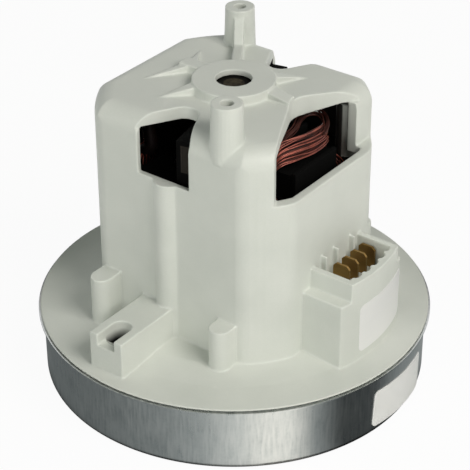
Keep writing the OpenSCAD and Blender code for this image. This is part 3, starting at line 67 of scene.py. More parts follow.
# %% [markdown]
# ## The camera
# The photograph looks down on the motor from its front right corner through a long lens. The stand point,
# the aim and the lens were worked out from the outlines of the can's rim and the tower, so a plain
# camera with those values shows the solids where the photograph has them.

# %% Camera
CAMERA_AT = Vector((299.0, -396.4, 354.4)) * MM
CAMERA_AIM = Vector((0.2, 0.15, 48.16)) * MM
CAMERA_LENS = 130.82
SENSOR_WIDTH = 36.0
CAMERA_ROLL = math.radians(-0.141)

camera = bpy.data.objects.new("camera", bpy.data.cameras.new("camera"))
bpy.context.scene.collection.objects.link(camera)
camera.data.lens = CAMERA_LENS
camera.data.sensor_width = SENSOR_WIDTH
camera.location = CAMERA_AT
camera.rotation_euler = (CAMERA_AIM - CAMERA_AT).to_track_quat("-Z", "Y").to_euler()
camera.rotation_euler.rotate_axis("Z", CAMERA_ROLL)
bpy.context.scene.camera = camera
bpy.context.scene.view_settings.view_transform = "Standard"
print("camera", round((CAMERA_AIM - CAMERA_AT).length, 3), "m from the motor")

# %% [markdown]
# ## Helpers for node trees
# Every finish below is a small tree of nodes. A few helpers keep the cells short. The first adds a node and
# fills its inputs, where a value may be a number or the output of another node. The next two start a node
# group with named sockets, for an effect that several finishes share, and place it. The others are the
# steps that come up everywhere: stretch a value, combine two values, mix two colours.

# %% Node helpers
def add_node(tree, kind, inputs=None, **settings):
    node = tree.nodes.new("ShaderNode" + kind)
    for name, value in settings.items():
        setattr(node, name, value)
    for key, value in (inputs or {}).items():
        if isinstance(value, bpy.types.NodeSocket):
            tree.links.new(value, node.inputs[key])
        else:
            node.inputs[key].default_value = value
    return node


KINDS = {"colour": "NodeSocketColor", "number": "NodeSocketFloat"}


def start_group(name, inputs, outputs):
    group = bpy.data.node_groups.new(name, "ShaderNodeTree")
    for label, kind, value in inputs:
        socket = group.interface.new_socket(label, in_out="INPUT", socket_type=KINDS[kind])
        socket.default_value = value
    for label, kind in outputs:
        group.interface.new_socket(label, in_out="OUTPUT", socket_type=KINDS[kind])
    return group, group.nodes.new("NodeGroupInput"), group.nodes.new("NodeGroupOutput")


def place_group(tree, group, inputs):
    return add_node(tree, "Group", inputs, node_tree=group)


def rgb(red, green, blue):
    return (red, green, blue, 1.0)


def ramp_mask(tree, value, low, high):
    """Stretches value from low..high to 0..1."""
    return add_node(tree, "MapRange", {"Value": value, "From Min": low, "From Max": high}).outputs["Result"]


def combine(tree, operation, first, second, **settings):
    """The output of a Math node."""
    return add_node(tree, "Math", {0: first, 1: second}, operation=operation, **settings).outputs[0]


def mix_colour(tree, mask, first, second):
    node = add_node(tree, "Mix", data_type="RGBA")
    for socket, value in zip((node.inputs[0], node.inputs[6], node.inputs[7]), (mask, first, second)):
        if isinstance(value, bpy.types.NodeSocket):
            tree.links.new(value, socket)
        else:
            socket.default_value = value
    return node.outputs[2]


print("node helpers ready")

# %% [markdown]
# ## Shared effects
# Moulded plastic, sheet steel, wire and paper all vary a little over their surface. Mottle is a soft cloud
# between two tones with a fine grain in its height. Edge wear and hollow shade brightens what stands proud
# and darkens hollows as painted shade, both read from the mesh's own pointiness. Upright streaks follows
# the can's wall round, so that its lines run up and down as the rolling marks of drawn steel do.

# %% Mottle group
NOISE_SPREAD = (0.3, 0.7)

mottle, ins, outs = start_group(
    "mottle",
    [("Light Tone", "colour", rgb(0.8, 0.8, 0.8)), ("Dark Tone", "colour", rgb(0.6, 0.6, 0.6)),
     ("Cloud Scale", "number", 40.0), ("Grain Scale", "number", 2000.0), ("Grain Share", "number", 0.3)],
    [("Colour", "colour"), ("Grain", "number"), ("Cloud", "number")],
)
where = add_node(mottle, "TexCoord").outputs["Object"]
cloud = add_node(mottle, "TexNoise", {"Vector": where, "Scale": ins.outputs["Cloud Scale"], "Detail": 4.0})
grain = add_node(mottle, "TexNoise", {"Vector": where, "Scale": ins.outputs["Grain Scale"], "Detail": 2.0})
cloud_mask = ramp_mask(mottle, cloud.outputs["Fac"], *NOISE_SPREAD)
grain_mask = ramp_mask(mottle, grain.outputs["Fac"], *NOISE_SPREAD)
both = add_node(mottle, "Mix", {0: ins.outputs["Grain Share"], 2: cloud_mask, 3: grain_mask})
toned = mix_colour(mottle, both.outputs[0], ins.outputs["Dark Tone"], ins.outputs["Light Tone"])
mottle.links.new(toned, outs.inputs["Colour"])
mottle.links.new(grain_mask, outs.inputs["Grain"])
mottle.links.new(cloud_mask, outs.inputs["Cloud"])
print("group", mottle.name, "with", len(mottle.nodes), "nodes")

# %% Edge wear and hollow shade group
PROUD, SUNK = (0.51, 0.58), (0.49, 0.42)

edge_wear_and_hollow_shade, ins, outs = start_group(
    "edge_wear_and_hollow_shade",
    [("Colour", "colour", rgb(0.5, 0.5, 0.5)), ("Edge Colour", "colour", rgb(0.9, 0.9, 0.9)),
     ("Hollow Colour", "colour", rgb(0.3, 0.3, 0.3)), ("Strength", "number", 0.5)],
    [("Colour", "colour")],
)
point = add_node(edge_wear_and_hollow_shade, "NewGeometry").outputs["Pointiness"]
proud = ramp_mask(edge_wear_and_hollow_shade, point, *PROUD)
# Painted shade: hollows, where pointiness is low, are darkened towards the hollow colour.
sunk = ramp_mask(edge_wear_and_hollow_shade, point, *SUNK)
proud_share = combine(edge_wear_and_hollow_shade, "MULTIPLY", proud, ins.outputs["Strength"])
sunk_share = combine(edge_wear_and_hollow_shade, "MULTIPLY", sunk, ins.outputs["Strength"])
edged = mix_colour(edge_wear_and_hollow_shade, proud_share, ins.outputs["Colour"], ins.outputs["Edge Colour"])
edged = mix_colour(edge_wear_and_hollow_shade, sunk_share, edged, ins.outputs["Hollow Colour"])
edge_wear_and_hollow_shade.links.new(edged, outs.inputs["Colour"])
print("group", edge_wear_and_hollow_shade.name, "with", len(edge_wear_and_hollow_shade.nodes), "nodes")

# %% Upright streaks group
CAN_WALL_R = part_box("can_label")[1].x
PATCH_SPREAD = (0.35, 0.7)

upright_streaks, ins, outs = start_group(
    "upright_streaks",
    [("Lines", "number", 900.0), ("Stretch", "number", 0.02)],
    [("Streak", "number"), ("Patch", "number")],
)
where = add_node(upright_streaks, "TexCoord").outputs["Object"]
axes = add_node(upright_streaks, "SeparateXYZ", {0: where}).outputs
turn = combine(upright_streaks, "ARCTAN2", axes["Y"], axes["X"])
round_wall = combine(upright_streaks, "MULTIPLY", turn, CAN_WALL_R)
upright = combine(upright_streaks, "MULTIPLY", axes["Z"], ins.outputs["Stretch"])
wall_at = add_node(upright_streaks, "CombineXYZ", {0: round_wall, 1: upright}).outputs[0]
lines = add_node(upright_streaks, "TexNoise",
                 {"Vector": wall_at, "Scale": ins.outputs["Lines"], "Detail": 5.0})
patches = add_node(upright_streaks, "TexNoise", {"Vector": where, "Scale": 55.0, "Detail": 3.0})
streak_mask = ramp_mask(upright_streaks, lines.outputs["Fac"], *NOISE_SPREAD)
patch_mask = ramp_mask(upright_streaks, patches.outputs["Fac"], *PATCH_SPREAD)
upright_streaks.links.new(streak_mask, outs.inputs["Streak"])
upright_streaks.links.new(patch_mask, outs.inputs["Patch"])
print("group", upright_streaks.name, "with", len(upright_streaks.nodes), "nodes")

# %% [markdown]
# ## Finishes
# A finish is a Principled shader fed by those groups. Numbers that are the same all over a surface are set
# on the shader itself. One function builds the common case, a mottled surface with worn edges, painted shade
# in its hollows and a grain in its bump, and the finishes that need more add to what it returns.

# %% Finish builder
def start_finish(name):
    material = bpy.data.materials.new(name)
    material.use_nodes = True
    tree = material.node_tree
    return material, tree, tree.nodes["Principled BSDF"]


def add_shine(tree, shader, value, rough):
    """Lets the roughness run over its range with value."""
    shine = add_node(tree, "MapRange", {"Value": value, "To Min": rough[0], "To Max": rough[1]})
    tree.links.new(shine.outputs["Result"], shader.inputs["Roughness"])


def add_bump(tree, shader, height, depth, strength):
    bump = add_node(tree, "Bump", {"Height": height, "Distance": depth, "Strength": strength})
    tree.links.new(bump.outputs["Normal"], shader.inputs["Normal"])


def plain_finish(name, light, dark, rough=(0.4, 0.5), cloud=60.0, grain=2500.0, edge=None, hollow=None,
                 wear_and_shade=0.4, grain_share=0.3, depth=0.00002, strength=0.3, **constant):
    """A mottled surface: two tones, worn edges, painted shade in hollows, a roughness range and a grain in the
    bump.
    """
    material, tree, shader = start_finish(name)
    spots = place_group(tree, mottle, {"Light Tone": light, "Dark Tone": dark, "Cloud Scale": cloud,
                                       "Grain Scale": grain, "Grain Share": grain_share})
    worn_and_shaded = place_group(tree, edge_wear_and_hollow_shade, {"Colour": spots.outputs["Colour"], "Edge Colour": edge or light,
                                          "Hollow Colour": hollow or dark, "Strength": wear_and_shade})
    tree.links.new(worn_and_shaded.outputs["Colour"], shader.inputs["Base Color"])
    add_shine(tree, shader, spots.outputs["Cloud"], rough)
    add_bump(tree, shader, spots.outputs["Grain"], depth, strength)
    for socket, value in constant.items():
        shader.inputs[socket.replace("_", " ")].default_value = value
    return material


finishes = {}
print("finish builder ready")

# %% [markdown]
# ### Pale moulding
# The housing is glass-filled plastic: a warm grey-white with a faint green cast, satin rather than glossy,
# a little lighter along its edges and darker in its corners with painted shade. Inside the tower, every
# face that is turned to the shaft or down from the roof is painted near black, partly the brushes' carbon
# dust and partly painted shade. The slot in the clip block is open down to the dark can, and its walls take
# a painted shade that fades to black with their depth.

# %% Inner dust and shade group
TURNED_IN, TURNED_DOWN = (-0.54, -0.62), (-0.3, -0.7)

inner_dust_and_shade, ins, outs = start_group(
    "inner_dust_and_shade",
    [("Colour", "colour", rgb(0.7, 0.7, 0.7)), ("Dust And Shade", "colour", rgb(0.1, 0.1, 0.1)),
     ("Reach", "number", 0.042), ("Ceiling", "number", 0.1)],
    [("Colour", "colour")],
)
surface = add_node(inner_dust_and_shade, "NewGeometry").outputs
place = add_node(inner_dust_and_shade, "SeparateXYZ", {0: surface["Position"]}).outputs
face = add_node(inner_dust_and_shade, "SeparateXYZ", {0: surface["Normal"]}).outputs
flat = add_node(inner_dust_and_shade, "CombineXYZ", {0: place["X"], 1: place["Y"]}).outputs[0]
outward = add_node(inner_dust_and_shade, "VectorMath", {0: flat}, operation="NORMALIZE").outputs["Vector"]
turned = add_node(inner_dust_and_shade, "VectorMath", {0: surface["Normal"], 1: outward}, operation="DOT_PRODUCT")
facing = turned.outputs["Value"]
away = add_node(inner_dust_and_shade, "VectorMath", {0: flat}, operation="LENGTH").outputs["Value"]
# Painted shade with carbon dust: faces inside the tower that turn to the shaft or down from the roof.
faces_in = ramp_mask(inner_dust_and_shade, facing, *TURNED_IN)
faces_down = ramp_mask(inner_dust_and_shade, face["Z"], *TURNED_DOWN)
either = combine(inner_dust_and_shade, "MAXIMUM", faces_in, faces_down)
near = combine(inner_dust_and_shade, "LESS_THAN", away, ins.outputs["Reach"])
below = combine(inner_dust_and_shade, "LESS_THAN", place["Z"], ins.outputs["Ceiling"])
inside = combine(inner_dust_and_shade, "MULTIPLY", near, below)
share = combine(inner_dust_and_shade, "MULTIPLY", either, inside)
dust_and_shade_colour = mix_colour(inner_dust_and_shade, share, ins.outputs["Colour"], ins.outputs["Dust And Shade"])
inner_dust_and_shade.links.new(dust_and_shade_colour, outs.inputs["Colour"])
print("group", inner_dust_and_shade.name, "with", len(inner_dust_and_shade.nodes), "nodes")

# %% Deep slot shade group
deep_slot_shade, ins, outs = start_group(
    "deep_slot_shade",
    [("Colour", "colour", rgb(0.7, 0.7, 0.7)), ("Shade", "colour", rgb(0.01, 0.01, 0.01)),
     ("Middle X", "number", 0.0), ("Middle Y", "number", 0.0), ("Radius", "number", 0.005),
     ("Top", "number", 0.03), ("Depth", "number", 0.003)],
    [("Colour", "colour")],
)
surface = add_node(deep_slot_shade, "NewGeometry").outputs
place = add_node(deep_slot_shade, "SeparateXYZ", {0: surface["Position"]}).outputs
middle_x, middle_y = ins.outputs["Middle X"], ins.outputs["Middle Y"]
middle = add_node(deep_slot_shade, "CombineXYZ", {0: middle_x, 1: middle_y}).outputs[0]
flat = add_node(deep_slot_shade, "CombineXYZ", {0: place["X"], 1: place["Y"]}).outputs[0]
away = add_node(deep_slot_shade, "VectorMath", {0: flat, 1: middle}, operation="DISTANCE").outputs["Value"]
within = combine(deep_slot_shade, "LESS_THAN", away, ins.outputs["Radius"])
# Painted shade: the further below Top, the darker the slot's walls.
fall = combine(deep_slot_shade, "SUBTRACT", ins.outputs["Top"], place["Z"])
sunk = combine(deep_slot_shade, "DIVIDE", fall, ins.outputs["Depth"], use_clamp=True)
share = combine(deep_slot_shade, "MULTIPLY", within, sunk)
shady = mix_colour(deep_slot_shade, share, ins.outputs["Colour"], ins.outputs["Shade"])
deep_slot_shade.links.new(shady, outs.inputs["Colour"])
print("group", deep_slot_shade.name, "with", len(deep_slot_shade.nodes), "nodes")

# %% Moulding finish
DUST_AND_SHADE_REACH, DUST_AND_SHADE_CEILING = 39.5 * MM, 100.6 * MM
SLOT_X, SLOT_Y, SLOT_R = -4.95 * MM, -54.5 * MM, 5.2 * MM
SLOT_TOP, SLOT_DEPTH = 35.5 * MM, 4.0 * MM

# The hollow tone is painted shade for the housing's corners.
finishes["moulding"] = plain_finish(
    "pale_moulding", rgb(0.73, 0.75, 0.705), rgb(0.655, 0.68, 0.635), rough=(0.42, 0.52), cloud=55.0,
    grain=1800.0, edge=rgb(0.78, 0.79, 0.75), hollow=rgb(0.50, 0.52, 0.47), wear_and_shade=0.35, grain_share=0.2,
    strength=0.12,
)
tree = finishes["moulding"].node_tree
skin = tree.nodes["Principled BSDF"].inputs["Base Color"]
# Painted shade with carbon dust: inside the tower, faces turned in or down are darkened near black.
dusted_and_shaded = place_group(tree, inner_dust_and_shade, {"Colour": skin.links[0].from_socket, "Dust And Shade": rgb(0.03, 0.03, 0.028),
                                        "Reach": DUST_AND_SHADE_REACH, "Ceiling": DUST_AND_SHADE_CEILING})
# Painted shade: the clip slot's walls darken to black with their depth below the block's top.
shaded = place_group(tree, deep_slot_shade, {"Colour": dusted_and_shaded.outputs["Colour"], "Shade": rgb(0.004, 0.004, 0.004),
                                       "Middle X": SLOT_X, "Middle Y": SLOT_Y, "Radius": SLOT_R,
                                       "Top": SLOT_TOP, "Depth": SLOT_DEPTH})
tree.links.new(shaded.outputs["Colour"], skin)
print("finish", finishes["moulding"].name)

# %% [markdown]
# ### Drawn steel
# The can is zinc-coated sheet, drawn in a press. Its wall has fine upright lines and cloudy zinc patches,
# which change its shine as well as its colour.

# %% Can steel finish
material, tree, shader = start_finish("drawn_steel")
streaks = place_group(tree, upright_streaks, {"Lines": 1100.0, "Stretch": 0.1})
spots = place_group(tree, mottle, {"Light Tone": rgb(0.72, 0.74, 0.73), "Dark Tone": rgb(0.50, 0.53, 0.53),
                                   "Cloud Scale": 160.0, "Grain Scale": 900.0, "Grain Share": 0.35})
lined = mix_colour(tree, streaks.outputs["Streak"], spots.outputs["Colour"], rgb(0.76, 0.77, 0.76))
tree.links.new(lined, shader.inputs["Base Color"])
blur = add_node(tree, "Mix", {0: 0.5, 2: streaks.outputs["Streak"], 3: streaks.outputs["Patch"]})
add_shine(tree, shader, blur.outputs[0], rough=(0.24, 0.42))
add_bump(tree, shader, streaks.outputs["Streak"], depth=0.00002, strength=0.12)
shader.inputs["Metallic"].default_value = 1.0
finishes["can_steel"] = material
print("finish", material.name)

# %% [markdown]
# ### Copper wire
# Winding wire is copper under a clear red-brown enamel, so it is a metal with a coat. The tone shifts along
# the wire. The turns underneath take darker copies of it, painted shade for the little light that reaches them.

# %% Copper finishes
finishes["copper_wire"] = plain_finish(
    "enamelled_copper", rgb(0.32, 0.082, 0.052), rgb(0.10, 0.024, 0.017), rough=(0.26, 0.4), cloud=300.0,
    grain=900.0, wear_and_shade=0.0, strength=0.05, Metallic=0.8, Coat_Weight=0.3, Coat_Roughness=0.2,
)
# Painted shade: near-black copper for the hidden middle of the coils and the armature.
finishes["deep_copper"] = plain_finish(
    "deep_copper", rgb(0.016, 0.006, 0.005), rgb(0.006, 0.003, 0.0025), rough=(0.5, 0.65), cloud=160.0,
    grain=900.0, wear_and_shade=0.0, strength=0.1, Metallic=0.5,
)
# Painted shade: a darker copy of the enamelled copper for turns under the skin.
finishes["shaded_copper"] = plain_finish(
    "shaded_copper", rgb(0.10, 0.028, 0.019), rgb(0.03, 0.009, 0.007), rough=(0.4, 0.55), cloud=300.0,
    grain=900.0, wear_and_shade=0.0, strength=0.05, Metallic=0.8, Coat_Weight=0.1, Coat_Roughness=0.3,
)
finishes["copper_bar"] = plain_finish(
    "turned_copper", rgb(0.70, 0.36, 0.22), rgb(0.42, 0.20, 0.12), rough=(0.25, 0.4), cloud=200.0,
    edge=rgb(0.85, 0.52, 0.36), wear_and_shade=0.5, Metallic=1.0,
)
print("copper finishes:", [name for name in finishes if "copper" in name])

# %% [markdown]
# ### The other finishes
# Black insulation, brass that has dulled to brown, bearing steel, sheet alloy, carbon, rubber, resin, woven
# sleeve and label film each take the same builder with their own tones and scales. The soot and shade ones
# are for the brush gear, near black with soot and painted shade. The oil and grease ones are for the shaft's
# end and the top bearing, near black with painted shade, and the shaft's end has painted glints.

# %% Other finishes
finishes["black_plastic"] = plain_finish(
    "black_insulation", rgb(0.009, 0.009, 0.009), rgb(0.005, 0.005, 0.005), rough=(0.55, 0.7), cloud=80.0,
    edge=rgb(0.014, 0.014, 0.014), hollow=rgb(0.004, 0.004, 0.004), strength=0.2, Specular_IOR_Level=0.2,
)
# Painted shade with soot: near black for the brush holders and the insulator inside the tower.
finishes["soot_and_shade_plastic"] = plain_finish(
    "soot_and_shade_plastic", rgb(0.003, 0.003, 0.0028), rgb(0.0015, 0.0015, 0.0014), rough=(0.8, 0.95), cloud=160.0,
    wear_and_shade=0.2, strength=0.2, Specular_IOR_Level=0.05,
)
finishes["brass"] = plain_finish(
    "dulled_brass", rgb(0.19, 0.10, 0.022), rgb(0.07, 0.034, 0.009), rough=(0.36, 0.55), cloud=260.0,
    grain=1500.0, edge=rgb(0.46, 0.30, 0.10), hollow=rgb(0.06, 0.03, 0.012), wear_and_shade=0.5, strength=0.15,
    Metallic=0.9,
)
# Painted shade with soot: near black for the brush tubes and caps.
finishes["soot_and_shade_brass"] = plain_finish(
    "soot_and_shade_brass", rgb(0.012, 0.010, 0.008), rgb(0.005, 0.0045, 0.004), rough=(0.6, 0.8), cloud=260.0,
    grain=1500.0, edge=rgb(0.03, 0.024, 0.016), strength=0.2, Specular_IOR_Level=0.15,
)
# Painted shade and painted glints: the shaft's end in the deep hole, dark with lighter brown patches as glints.
finishes["oil_shade_and_glint_steel"] = plain_finish(
    "oil_shade_and_glint_steel", rgb(0.085, 0.072, 0.048), rgb(0.001, 0.001, 0.001), rough=(0.5, 0.7), cloud=330.0,
    grain=1100.0, grain_share=0.45, wear_and_shade=0.0, strength=0.6, depth=0.0002, Specular_IOR_Level=0.03,
)
# Painted shade: the top bearing, near black at the bottom of the boss's hole.
finishes["grease_and_shade_steel"] = plain_finish(
    "grease_and_shade_steel", rgb(0.007, 0.0065, 0.005), rgb(0.002, 0.002, 0.002), rough=(0.5, 0.7), cloud=500.0,
    grain=1400.0, wear_and_shade=0.0, strength=0.4, depth=0.0001, Specular_IOR_Level=0.03,
)
finishes["bearing_steel"] = plain_finish(
    "ground_steel", rgb(0.62, 0.63, 0.65), rgb(0.48, 0.49, 0.51), rough=(0.2, 0.34), cloud=220.0,
    edge=rgb(0.75, 0.76, 0.78), wear_and_shade=0.4, strength=0.1, Metallic=1.0,
)
finishes["dark_steel"] = plain_finish(
    "blackened_steel", rgb(0.30, 0.31, 0.32), rgb(0.20, 0.20, 0.21), rough=(0.32, 0.48), cloud=220.0,
    edge=rgb(0.5, 0.5, 0.52), wear_and_shade=0.5, strength=0.15, Metallic=1.0,
)
finishes["spring_steel"] = plain_finish(
    "spring_wire", rgb(0.55, 0.56, 0.58), rgb(0.40, 0.41, 0.43), rough=(0.22, 0.35), cloud=400.0, wear_and_shade=0.0,
    Metallic=1.0,
)
finishes["light_alloy"] = plain_finish(
    "pressed_alloy", rgb(0.74, 0.75, 0.76), rgb(0.60, 0.61, 0.63), rough=(0.3, 0.45), cloud=70.0,
    edge=rgb(0.85, 0.86, 0.87), wear_and_shade=0.4, strength=0.15, Metallic=1.0,
)
finishes["carbon"] = plain_finish(
    "graphite", rgb(0.035, 0.035, 0.037), rgb(0.018, 0.018, 0.019), rough=(0.5, 0.7), cloud=300.0,
)
finishes["rubber"] = plain_finish(
    "black_rubber", rgb(0.02, 0.02, 0.02), rgb(0.012, 0.012, 0.012), rough=(0.7, 0.85), cloud=120.0,
    strength=0.25,
)
finishes["phenolic"] = plain_finish(
    "pressed_resin", rgb(0.12, 0.055, 0.025), rgb(0.07, 0.03, 0.015), rough=(0.4, 0.6), cloud=300.0,
    strength=0.2,
)
finishes["lead_sleeve"] = plain_finish(
    "woven_sleeve", rgb(0.05, 0.045, 0.042), rgb(0.02, 0.018, 0.017), rough=(0.6, 0.8), cloud=700.0,
    grain=3500.0, grain_share=0.6, depth=0.0001, strength=0.5,
)
finishes["label_paper"] = plain_finish(
    "blank_label", rgb(0.93, 0.93, 0.93), rgb(0.90, 0.90, 0.91), rough=(0.3, 0.4), cloud=120.0, grain=3000.0,
    edge=rgb(0.80, 0.80, 0.79), wear_and_shade=0.5, strength=0.06,
)
print("finishes so far:", len(finishes))

# %% [markdown]
# ### Stacked sheet
# Stator and armature are stacks of thin sheet. A wave along the height stands for the layers, in the bump as
# well as the colour. Its layers are about 3 mm high, coarser than real sheets.

# %% Lamination finish
material, tree, shader = start_finish("stacked_sheet")
spots = place_group(tree, mottle, {"Light Tone": rgb(0.20, 0.195, 0.19), "Dark Tone": rgb(0.11, 0.10, 0.095),
                                   "Cloud Scale": 120.0, "Grain Scale": 1500.0, "Grain Share": 0.4})
where = add_node(tree, "TexCoord").outputs["Object"]
LAYER_SCALE = 100.0
layers = add_node(tree, "TexWave", {"Vector": where, "Scale": LAYER_SCALE, "Distortion": 0.2},
                  bands_direction="Z")
sheet = ramp_mask(tree, layers.outputs["Fac"], 0.0, 0.35)
layered = mix_colour(tree, sheet, rgb(0.04, 0.038, 0.036), spots.outputs["Colour"])
tree.links.new(layered, shader.inputs["Base Color"])
add_shine(tree, shader, spots.outputs["Cloud"], rough=(0.4, 0.6))
add_bump(tree, shader, layers.outputs["Fac"], depth=0.0001, strength=0.5)
shader.inputs["Metallic"].default_value = 0.8
finishes["laminations"] = material
print("finish", material.name)

# %% [markdown]
# ## Dress the solids
# A solid whose shape is already right keeps its mesh and takes the finish of its slot in the record. Shading
# is smooth except across sharp edges, so round walls look round and corners stay crisp. The brush gear and
# the insulator under it are blackened by dust and by painted shade, and the shaft's end and the top bearing
# by oil and painted shade, with painted glints on the shaft's end, so those few pieces take a darker finish.

# %% Materials on the solids
SHARP = math.radians(30)
# Near-black finishes as painted shade for these pieces deep in the tower and the bearing hole.
OTHER_FINISH = {"soot_and_shade_brass": ("brush_tube_a", "brush_tube_b", "brush_cap_a", "brush_cap_b"),
                "oil_shade_and_glint_steel": ("rotor_shaft",),
                "grease_and_shade_steel": ("top_inner_ring", "top_outer_ring", "top_shields", "top_cage",
                                  "bearing_retainer"),
                "soot_and_shade_plastic": ("brush_holder_a", "brush_holder_b", "upper_insulator")}
finish_of = {node: finish for finish, members in OTHER_FINISH.items() for node in members}


def shade_smooth(mesh):
    mesh.polygons.foreach_set("use_smooth", [True] * len(mesh.polygons))


for name, solid in nodes.items():
    solid.data.materials.clear()
    solid.data.materials.append(finishes[finish_of.get(name, slot_of[name])])
    shade_smooth(solid.data)
    solid.data.set_sharp_from_angle(angle=SHARP)
print("solids dressed:", len(nodes))

# %% [markdown]
# ## New pieces
# A new mesh rides on the body of the solid that it stands for and hides it. One that only fills in under
# another mesh rides along and hides nothing.

# %% Piece helpers
body_of = {node: body for body, members in frame["record"]["behaviour"]["bodies"].items() for node in members}


def add_piece(name, verts, faces, finish):
    mesh = bpy.data.meshes.new(name)
    mesh.from_pydata([tuple(v) for v in verts], [], [tuple(f) for f in faces])
    mesh.materials.append(finishes[finish])
    shade_smooth(mesh)
    piece = bpy.data.objects.new(name, mesh)
    bpy.context.scene.collection.objects.link(piece)
    return piece


def ride_with(piece, node):
    """Rides on the solid's body."""
    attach(piece, body_of[node])


def stand_for(piece, node):
    """Rides with the solid and hides it."""
    ride_with(piece, node)
    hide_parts(node)


print("bodies:", sorted(set(body_of.values())))

# %% [markdown]
# ## The housing
# A moulding has no sharp edge anywhere: the tool's corners are rounded, and the plastic rounds them further.
# A bevel would stumble over the many small faces where ribs run into the roof, so the solid is rebuilt
# from small voxels, smoothed until every edge and hollow corner has a radius, and thinned where it is flat.

# %% Softened housing
VOXEL = 0.32 * MM
SMOOTH_PASSES = 2
KEEP_SHARE = 0.16


def baked_copy(source, name, modifiers):
    """A new object with source's mesh after the modifiers."""
    work = bpy.data.objects.new(name, source.data.copy())
    bpy.context.scene.collection.objects.link(work)
    for kind, settings in modifiers:
        modifier = work.modifiers.new(kind.lower(), kind)
        for key, value in settings.items():
            setattr(modifier, key, value)
    mesh = bpy.data.meshes.new_from_object(work.evaluated_get(bpy.context.evaluated_depsgraph_get()))
    mesh.name = name
    work.modifiers.clear()
    work.data = mesh
    shade_smooth(mesh)
    return work


housing = baked_copy(nodes["motor_housing"], "housing_moulding", [
    ("REMESH", {"mode": "VOXEL", "voxel_size": VOXEL}),
    ("SMOOTH", {"factor": 0.5, "iterations": SMOOTH_PASSES}),
    ("DECIMATE", {"ratio": KEEP_SHARE}),
])
housing.data.materials.clear()
housing.data.materials.append(finishes["moulding"])
stand_for(housing, "motor_housing")
print("housing faces:", len(housing.data.polygons))

# %% [markdown]
# ## Wire
# Windings are what a viewer sees through the windows, so they are real turns of wire. A wire is a tube swept
# along a path. The ring of points is carried along without twisting, by turning it with the path from
# one point to the next.

# %% Sweep helper
def unit(vectors):
    return vectors / np.linalg.norm(vectors, axis=-1, keepdims=True)


# Any direction will do that no path starts along.
ODD_DIRECTION = (0.31, 0.22, 0.92)


def sweep(path, radius, sides):
    """Vertices and faces of a tube along path, an n by 3 array."""
    path = np.asarray(path, float)
    n = len(path)
    ahead = np.vstack([path[1:], 2 * path[-1] - path[-2]])
    behind = np.vstack([2 * path[0] - path[1], path[:-1]])
    along = unit(ahead - behind)
    side = np.cross(along[0], ODD_DIRECTION)
    rings = []
    angles = np.arange(sides) * 2 * math.pi / sides
    for i in range(n):
        side = unit(side - along[i] * side.dot(along[i]))
        up = np.cross(along[i], side)
        rings.append(path[i] + radius * (np.outer(np.cos(angles), side) + np.outer(np.sin(angles), up)))
    verts = np.vstack(rings)
    faces = []
    for i in range(n - 1):
        a, b = i * sides, (i + 1) * sides
        for k in range(sides):
            k1 = (k + 1) % sides
            faces.append((a + k, a + k1, b + k1, b + k))
    faces.append(tuple(range(sides - 1, -1, -1)))
    faces.append(tuple((n - 1) * sides + k for k in range(sides)))
    return verts, faces


def join_meshes(parts):
    verts, faces, start = [], [], 0
    for part_verts, part_faces in parts:
        verts.extend(part_verts)
        faces.extend(tuple(start + i for i in face) for face in part_faces)
        start += len(part_verts)
    return verts, faces


def smooth_line(points, per_span):
    """Catmull-Rom curve through the points."""
    points = np.asarray(points, float)
    padded = np.vstack([2 * points[0] - points[1], points, 2 * points[-1] - points[-2]])
    out = []
    for i in range(1, len(padded) - 2):
        p0, p1, p2, p3 = padded[i - 1:i + 3]
        for t in np.arange(per_span) / per_span:
            out.append(0.5 * (2 * p1 + (p2 - p0) * t + (2 * p0 - 5 * p1 + 4 * p2 - p3) * t ** 2
                              + (3 * p1 - p0 - 3 * p2 + p3) * t ** 3))
    return np.vstack(out + [padded[-2]])


print("sweep helpers ready")

# %% [markdown]
# ## Field coils
# Each coil is one wire wound round a pole: up one slot, over the top end, down the other slot and back
# under. Over the end the turns bow outward to clear the armature, and they fan out on the way, because a
# machine lays them in fast. So the end has two guide curves, one along the bundle's outer foot and one
# along its top, and each turn follows its own blend of the two with a slow wander, which makes strands
# cross. The skin turns catch the light; the layers and loose loops under them are a second mesh in a darker
# copy of the copper, painted shade, and the hidden middle is one bundle in a near-black painted shade.

# %% Field coil guides
coil_low, coil_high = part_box("field_winding_a")
WIRE_R = 0.26 * MM
WIRE_SIDES = 6
FOOT_GUIDE = np.array([(22.8, -18.0, 79.0), (24.2, -14.6, 84.6), (26.4, -11.2, 88.2), (28.9, -5.4, 88.6),
                       (30.5, 0.5, 88.4), (30.6, 6.5, 88.3), (29.4, 11.4, 88.2), (27.0, 14.6, 86.0),
                       (25.2, 16.2, 81.0)]) * MM
TOP_GUIDE = np.array([(22.7, -15.8, 83.0), (22.6, -12.2, 90.6), (23.0, -8.0, 94.2), (24.8, -3.0, 95.5),
                      (26.8, 2.5, 95.9), (27.5, 8.0, 95.9), (26.6, 12.2, 95.2), (24.9, 14.6, 92.0),
                      (23.6, 15.4, 86.0)]) * MM
LEG_Z = np.array((77.0, 60.0, 44.0)) * MM
LEG_COLUMNS, LEG_ROWS = 7, 5
LEG_SPREAD = 7.0 * MM
LEG_CORNER = 3.5 * MM
LAYERS = (10, 12, 11)
LAYER_STEP = 0.2
BUNDLE_SHIFT = np.array((1.8, 0, 1.1)) * MM
BUNDLE_R = 2.3 * MM
WANDER = 0.13
JITTER = 0.12 * MM
SWELL_ALONG = np.array((0, 0.3, 0.8, 1, 1, 1, 0.9, 0.5, 0))
SWELL_WAY = np.array((0.86, 0, 0.5))
SWELL = np.outer(SWELL_ALONG, SWELL_WAY) * 1.2 * MM


